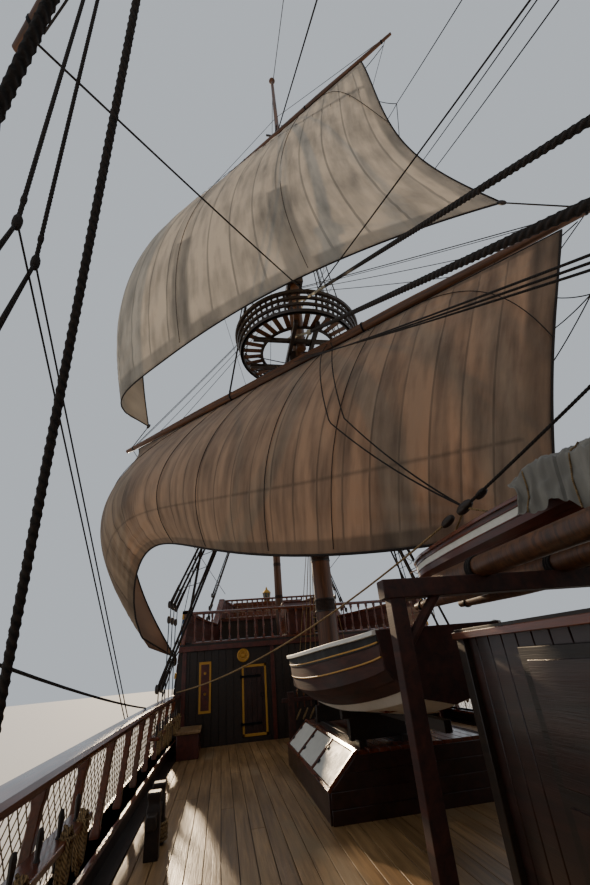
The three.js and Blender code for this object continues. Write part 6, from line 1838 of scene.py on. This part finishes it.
def stores():
    """Locker, ladders, casks, coils on deck and the oars in the boats."""
    box, z = Shape(RED_BROWN, LARCH, IRON), WAIST + 0.02
    box.block((-2.95, -3.32, z), (-1.95, -2.86, z + 0.44))
    box.block((-2.98, -3.35, z + 0.44), (-1.92, -2.83, z + 0.49), 1)
    for x in (-2.8, -2.1):
        box.block((x - 0.02, -2.868, z + 0.2), (x + 0.02, -2.852, z + 0.5), 2)
    box.piece("deck_locker", "ship", finish="painted_panel", bevel=0.008)
    treads = Shape(MAHOGANY, LARCH)
    ladder(treads, CASTLE_BREAK + 0.07, 2.55, z, quarterdeck(CASTLE_BREAK) + 0.02, 1)
    ladder(treads, FORE_BREAK - 0.07, 2.4, z, forecastle(FORE_BREAK) + 0.02, -1)
    ladder(treads, POOP_BREAK + 0.07, 1.9, quarterdeck(POOP_BREAK) + 0.02, poop(POOP_BREAK) + 0.02, 1)
    treads.piece("deck_ladders", "ship", finish="varnished_rail", bevel=0.004)
    cask = Shape(BROWN_OAK)
    bulge = lambda h: 0.2 + 0.045 * (1 - (h / 0.31 - 1) ** 2)
    for a in around(18):
        turn = Matrix.Rotation(a, 3, "Z")
        cask.loft([[turn @ polar(bulge(h) - deep, b, h) for deep, b in corners(0.02, 0, -0.166, 0.166)]
                   for h in steps(0, 0.62, 6)])
    cask.turned([(0, 0.57), (0.19, 0.57), (0.19, 0.59), (0, 0.59)], (0, 0, 0))
    spots = [upright(vec(x, y, z), a) for x, y, a in (
        (4.1, 2.9, 0), (4.62, 2.86, 1), (4.3, 2.38, 2), (9.35, -2.75, 0.5), (9.4, 1.3, 2.2))]
    scatter("water_casks", cask, spots, BROWN_OAK, "ship")
    hoops = Shape(IRON)
    for row in spots:
        for h in (0.05, 0.17, 0.42, 0.54):
            hoops.band(row[0] + vec(0, 0, h), UP, bulge(h) - 0.015, bulge(h + 0.02) + 0.006, 0.035)
    hoops.piece("cask_hoops", "ship", finish="forged_iron")
    coils = []
    for x, y, turns in ((8.4, -2.6, 6), (6.6, 3.0, 7), (-6.2, -2.5, 6), (-6.6, 2.5, 5), (11.6, 1.6, 6),
                        (-1.9, 2.7, 6)):
        low = (quarterdeck(x) if x < CASTLE_BREAK else forecastle(x) if x > FORE_BREAK else WAIST) + 0.034
        coils.append(([vec(x + r * cos(a), y + r * sin(a), low + 0.006 * sin(a * 3))
                       for k in range(turns) for a in around(24) for r in [0.1 + 0.031 * (k + a / tau)]], 0.015))
    ropes("deck_coils", coils, MANILA, "ship", step=0.04)
    oar = Shape(LONG_PINE)
    oar.turned([(0, 0), (0.022, 0.01), (0.028, 0.5), (0.026, 2.5), (0.02, 2.75), (0, 2.8)], (0, 0, 0), (-1, 0, 0), 10)
    oar.loft([[vec(-x, y, h) for y, h in corners(-w, w, -0.006, 0.006)]
              for x, w in ((2.6, 0.02), (2.85, 0.055), (3.4, 0.07), (3.5, 0.05))])
    rows = [(vec(x, y, h), Euler((a, 0, turn)), (1, 1, 1)) for x, y, h, a, turn in (
        (3.9, -0.75, 2.9, 0.3, 0.02), (4.0, -0.62, 2.9, 0.9, 0.05), (3.95, -0.1, 2.9, 0.2, -0.04),
        (3.8, 0.02, 2.9, 0.6, -0.02), (5.3, 1.02, 4.18, 0.4, 0.03), (5.35, 1.5, 4.18, 0.8, -0.03),
        (5.2, 1.38, 4.18, 0.1, 0.0))]
    scatter("oars", oar, rows, LONG_PINE, "ship")


def anchors():
    """Two anchors hung under the catheads: forged shank, bent arms with palms, and a wooden stock in iron bands."""
    for hand, name in ((1, "anchor_port"), (-1, "anchor_starboard")):
        made, at = Shape(IRON, OAK, TARRED), vec(12.475, hand * 3.75, forecastle(12.5) + BULWARK - 0.2003)
        crown, stock = at.z - 2.3, at.z - 0.425
        made.turned([(0.045, 0), (0.055, 0.3), (0.065, 1.2), (0.082, 2.08)], (at.x, at.y, at.z - 0.22), (0, 0, -1), 10)
        hoop = [vec(at.x + 0.11 * cos(a), at.y, at.z - 0.132 + 0.11 * sin(a)) for a in around(20)]
        for a, b in zip(hoop, hoop[1:] + hoop[:1]):
            made.bar(a, b, 0.022, sides=8)
        for way in HANDS:
            arc = [vec(at.x, at.y + way * 0.64 * sin(t), crown - 0.02 + 0.46 * (1 - cos(t))) for t in steps(0, 1.45, 8)]
            for k, (a, b) in enumerate(zip(arc, arc[1:])):
                made.bar(a, b, 0.082 - 0.005 * k, 0.077 - 0.005 * k, sides=10)
            spot = Matrix.Translation(arc[6] + vec(0, -way * 0.05, 0.02)) @ Matrix.Rotation(way * radians(-32), 4, "X")
            palm = ((-0.14, -0.17), (0.14, -0.17), (0.16, 0.02), (0, 0.24), (-0.16, 0.02))
            made.loft([[spot @ vec(x, t * 0.014, h) for x, h in palm] for t in (-1, 1)])
        made.loft([[vec(at.x + x, at.y + a * w, stock + b * w) for a, b in SQUARE]
                   for x, w in ((-1.0, 0.045), (-0.3, 0.08), (0.3, 0.08), (1.0, 0.045))], 1)
        for x, w in ((-0.85, 0.058), (-0.5, 0.074), (-0.15, 0.086), (0.11, 0.086), (0.46, 0.074), (0.81, 0.058)):
            made.block((at.x + x, at.y - w, stock - w), (at.x + x + 0.04, at.y + w, stock + w))
        made.piece(name + "_iron", "ship", [name], "forged_iron", bevel=0.004)
        x, z = 13.55, 2.35
        hawse = raked(x, hand * side(x, z), z)
        path = [vec(at.x, at.y, at.z - 0.26), vec(at.x + 0.12, hand * 3.7, 2.4), vec(at.x + 0.5, hand * 3.2, 1.15),
                vec(13.2, hand * 2.7, 1.5), hawse]
        curve = [p for a, b in zip(path, path[1:]) for p in (a.lerp(b, t) for t in steps(0, 0.75, 3))] + [hawse]
        for _ in range(3):
            curve = [curve[0]] + [(a + b * 2 + c) / 4 for a, b, c in zip(curve, curve[1:], curve[2:])] + [curve[-1]]
        ropes(name + "_cable", [(curve, 0.045)], TARRED, "ship", sides=12, strand=0.12)
        lip = Shape(IRON)
        lip.band(hawse - vec(0, hand * 0.03, 0), (0.35, hand, 0), 0.06, 0.13, 0.06, sides=20)
        lip.piece(name + "_hawse", "ship", finish="forged_iron", bevel=0.01)


def bowsprit():
    """Bowsprit with its bitts, bands and gammoning."""
    made, way = Shape(PINE, OAK, TARRED, IRON), (SPRIT_END - SPRIT_HEEL).normalized()
    long, seat = (SPRIT_END - SPRIT_HEEL).length, forecastle(12.9)
    made.turned([(0, 0), (0.2, 0.01), (0.213, 0.06), (0.213, 0.5),
                 *[(sprit_radius(t) + 0.003, t * long) for t in steps(0.06, 0.985, 16)],
                 (0.1, long * 0.99), (0.06, long), (0, long + 0.01)], SPRIT_HEEL, way, 28)
    heads = ((seat, 0.075), (3.74, 0.075), (3.78, 0.06), (3.82, 0.06), (3.86, 0.078), (3.9, 0.07))
    for hand in HANDS:
        made.loft([[vec(x, hand * 0.27 + a * w, h) for x, a in corners(12.64, 12.92, -1, 1)] for h, w in heads], 1)
    made.block((12.55, -0.33, 3.3), (13.0, 0.33, 3.42), 1)
    made.block((12.58, -0.33, seat), (12.97, 0.33, seat + 0.14), 1)
    r = sprit_radius(sprit_part(17.6))
    for k in range(8):
        made.band(sprit_at(17.6) + way * (0.052 * (k - 3.5) - 0.024), way, r, r + 0.05, 0.048, slot=2, sides=28)
    for t in (0.55, 0.72, 0.9):
        made.band(SPRIT_HEEL + way * long * t, way, sprit_radius(t) - 0.01, sprit_radius(t) + 0.014, 0.06, slot=3)
    made.piece("bowsprit_wood", "ship", ["bowsprit"], "oiled_spar", bevel=0.004)
    lash = [([sprit_at(x) + vec(0, hand * (r + 0.03), -0.02), vec(x - 0.08, hand * 0.17, 2.72)], 0.022)
            for x in (17.42 + 0.055 * k for k in range(7)) for hand in HANDS]
    ropes("gammoning", lash, TARRED, "ship", sides=7)


def spritsail_yard():
    """The yard slung under the bowsprit, with its sail furled on it."""
    cross, at, half = Shape(PINE, IRON, TARRED), sprit_at(20.3) - vec(0, 0, 0.3), 3.9
    tapered = [(mix(0.09, 0.042, clamp((abs(y) / half - 0.4) / 0.6)), y) for y in steps(-half + 0.05, half - 0.05, 20)]
    cross.turned([(0, -half), (0.04, -half + 0.01), *tapered, (0.04, half - 0.01), (0, half)], at, ACROSS, 20)
    for y in (-half + 0.3, half - 0.35, -0.5, 0.45):
        cross.band(at + vec(0, y, 0), ACROSS, 0.04, 0.06 if abs(y) > 1 else 0.1, 0.05, slot=1)
    for d in (-0.07, -0.02, 0.03):
        cross.band(at + vec(0, d, 0), ACROSS, 0.09, 0.108, 0.04, slot=2)
    cross.turned([(0.032, 0.07), (0.04, 0.14), (0.03, 0.2)], at, sides=14, slot=2)
    cross.piece("spritsail_yard_wood", "spritsail_yards", ["spritsail_yard"], "oiled_spar", bevel=0.002)
    furled_roll("spritsail", Matrix.Translation((20.3 + 0.2001, 0, at.z)), 3.276, 0.12, "spritsail_yards")


def furled_sails():
    """The rolled sails of the fore mast and the mizzen."""
    for name, ahead, reach, radius in (("fore_course", 0.7618, 5.544, 0.175), ("fore_topsail", 0.5485, 3.78, 0.14)):
        spec = YARDS["fore_yard" if name == "fore_course" else "fore_topsail_yard"]
        furled_roll(name, yard_place(spec) @ Matrix.Translation((ahead, 0, 0)), reach, radius, spec["body"])
    turn = lateen_frame() @ Matrix.Translation((0, 0.5603, 0.86)) @ Matrix.Rotation(radians(90), 4, "X")
    furled_roll("mizzen_sail", turn, 4.558, 0.13, "lateen")


def dress():
    """Finishes for the solids that show as they are."""
    for stuff, names in ((OAK, "hull aftercastle poop forecastle capstan_base rudder"),
                         (MAHOGANY, "aft_bulwarks forecastle_rail"), (OCHRE, "beakhead")):
        for name in names.split():
            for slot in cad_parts[name].material_slots:
                slot.material = stuff


# The add-on: groups of settings, an operator for each group of pieces, and a panel that lists them

def tint(name, description, code):
    return bpy.props.FloatVectorProperty(
        name=name, description=description, subtype="COLOR", size=3, min=0, max=1, default=colour(code)[:3])


class SHIP_PG_spars(bpy.types.PropertyGroup):
    """Sizes of the spars."""
    sides: bpy.props.IntProperty(name="Mast sides", description="Faces round a mast", default=32, min=8, max=64)


class SHIP_PG_sails(bpy.types.PropertyGroup):
    """Cloth of the set sails."""
    thickness: bpy.props.FloatProperty(
        name="Cloth", description="Thickness of the sailcloth", default=0.004, min=0.001, max=0.02, unit="LENGTH")
    main_course: tint("Main course", "Lightest colour of the main course", "#b3a08a")
    main_topsail: tint("Main topsail", "Lightest colour of the main topsail", "#dcd5c9")


class SHIP_PG_light(bpy.types.PropertyGroup):
    """The stage and its light."""
    floor: tint("Floor", "Colour of the floor", "#e4e2dd")
    sun: bpy.props.FloatProperty(name="Key light", description="Strength of the key light", default=4.0, min=0)


# The photograph's camera: its place, where it looks, what is to its right, and its focal length in millimetres
EYE, FORWARD, RIGHT, FOCUS = vec(9.0, -2.4, 2.95), vec(-0.869, 0.173, 0.4624), vec(0.154, 0.984, -0.0785), 17.0
# Where the low sun stands and how broad it is, and the sky's colour and strength
SUNWARD, SUN_BREADTH, SUN_COLOUR = vec(-0.95, -0.15, 0.3), radians(1.6), "#ffe3bd"
SKY_COLOUR, SKY_STRENGTH = "#dfe6ee", 0.68
FLOOR_RADIUS = 90


class SHIP_OT_stage(bpy.types.Operator):
    """Pale floor at the waterline, soft light from astern and the camera by the foremast"""
    bl_idname = "ship.stage"
    bl_label = "Stage, light and camera"

    def execute(self, context):
        scene, look = context.scene, context.scene.ship_light
        floor = bpy.data.meshes.new("floor")
        floor.from_pydata([polar(FLOOR_RADIUS, a) for a in around(96)], [], [list(range(96))])
        made, tree, face, _ = shader("pale floor")
        fill(tree, face, {"Base Color": (*look.floor, 1), "Roughness": 0.85})
        floor.materials.append(made)
        settle("floor", floor)
        scene.world = bpy.data.worlds.new("studio")
        scene.world.use_nodes = True
        tree = scene.world.node_tree
        fill(tree, tree.nodes["Background"], {"Color": colour(SKY_COLOUR), "Strength": SKY_STRENGTH})
        key = bpy.data.lights.new("key", "SUN")
        key.energy, key.angle, key.color = look.sun, SUN_BREADTH, colour(SUN_COLOUR)[:3]
        settle("key", key).rotation_euler = SUNWARD.to_track_quat("Z", "Y").to_euler()
        lens = bpy.data.cameras.new("camera")
        lens.sensor_width, lens.lens, lens.clip_end = 36.0, FOCUS, 400
        forward = FORWARD.normalized()
        right = (RIGHT - forward * RIGHT.dot(forward)).normalized()
        turn = Matrix((right, right.cross(forward), -forward)).transposed().to_4x4()
        scene.camera = settle("camera", lens)
        scene.camera.matrix_world = Matrix.Translation(EYE) @ turn
        return {"FINISHED"}


class SHIP_OT_sails(bpy.types.Operator):
    """The main course and the main topsail, set and drawing"""
    bl_idname = "ship.sails"
    bl_label = "Set sails"

    def execute(self, context):
        look = context.scene.ship_sails
        for name in SAILS:
            set_sail(name, getattr(look, name), look.thickness)
        return {"FINISHED"}


class SHIP_OT_spars(bpy.types.Operator):
    """Masts, tops and yards"""
    bl_idname = "ship.spars"
    bl_label = "Masts and yards"

    def execute(self, context):
        sides = context.scene.ship_spars.sides
        for key in RIG:
            lower_mast(key, sides)
            top_mast(key, sides)
            top_wall(key)
        mizzen_mast()
        for name in YARDS:
            yard(name)
        lateen_yard()
        return {"FINISHED"}


class SHIP_OT_rigging(bpy.types.Operator):
    """Shrouds, stays, sail ropes, braces and sheets"""
    bl_idname = "ship.rigging"
    bl_label = "Rigging"

    def execute(self, context):
        for row in SHROUDS:
            standing(row)
        for key in RIG:
            topmast_shrouds(key)
        for row in STAYS:
            stay(row)
        for build in (backstays, sail_ropes, sheets_and_braces, fore_course_gear, boat_tackle):
            build()
        return {"FINISHED"}


class SHIP_OT_hull(bpy.types.Operator):
    """Planks, wales, decks, rails, bulkheads and stern"""
    bl_idname = "ship.hull"
    bl_label = "Hull and decks"

    def execute(self, context):
        for build in (hull_sides, decks, waist_rails, castle_walls, bulkheads, doors, quarter_windows, stern):
            build()
        return {"FINISHED"}


class SHIP_OT_gear(bpy.types.Operator):
    """Boats, deckhouses, deck gear, the bowsprit and the furled sails"""
    bl_idname = "ship.gear"
    bl_label = "Boats and gear"

    def execute(self, context):
        for name in BOATS:
            boat(name)
        for build in (boat_cover, skylight, galley, companion, gallows, bitts, capstan, mast_rack, stores, anchors,
                      bowsprit, spritsail_yard, furled_sails, dress):
            build()
        return {"FINISHED"}


OPERATORS = [SHIP_OT_stage, SHIP_OT_sails, SHIP_OT_spars, SHIP_OT_rigging, SHIP_OT_hull, SHIP_OT_gear]
GROUPS = {"ship_spars": SHIP_PG_spars, "ship_sails": SHIP_PG_sails, "ship_light": SHIP_PG_light}


class SHIP_PT_panel(bpy.types.Panel):
    """Lists the pieces of the ship"""
    bl_idname = "SHIP_PT_panel"
    bl_label = "Square-rigged ship"
    bl_space_type = "VIEW_3D"
    bl_region_type = "UI"
    bl_category = "Ship"

    def draw(self, context):
        for made in OPERATORS:
            self.layout.operator(made.bl_idname)
        for label, group in GROUPS.items():
            for key in group.__annotations__:
                self.layout.prop(getattr(context.scene, label), key)


def register():
    for made in [*GROUPS.values(), *OPERATORS, SHIP_PT_panel]:
        bpy.utils.register_class(made)
    for label, group in GROUPS.items():
        setattr(bpy.types.Scene, label, bpy.props.PointerProperty(type=group))


def unregister():
    for label in GROUPS:
        delattr(bpy.types.Scene, label)
    for made in reversed([*GROUPS.values(), *OPERATORS, SHIP_PT_panel]):
        bpy.utils.unregister_class(made)


def main():
    register()
    for made in OPERATORS:
        group, call = made.bl_idname.split(".")
        getattr(getattr(bpy.ops, group), call)()
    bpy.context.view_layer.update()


if __name__ == "__main__":
    main()
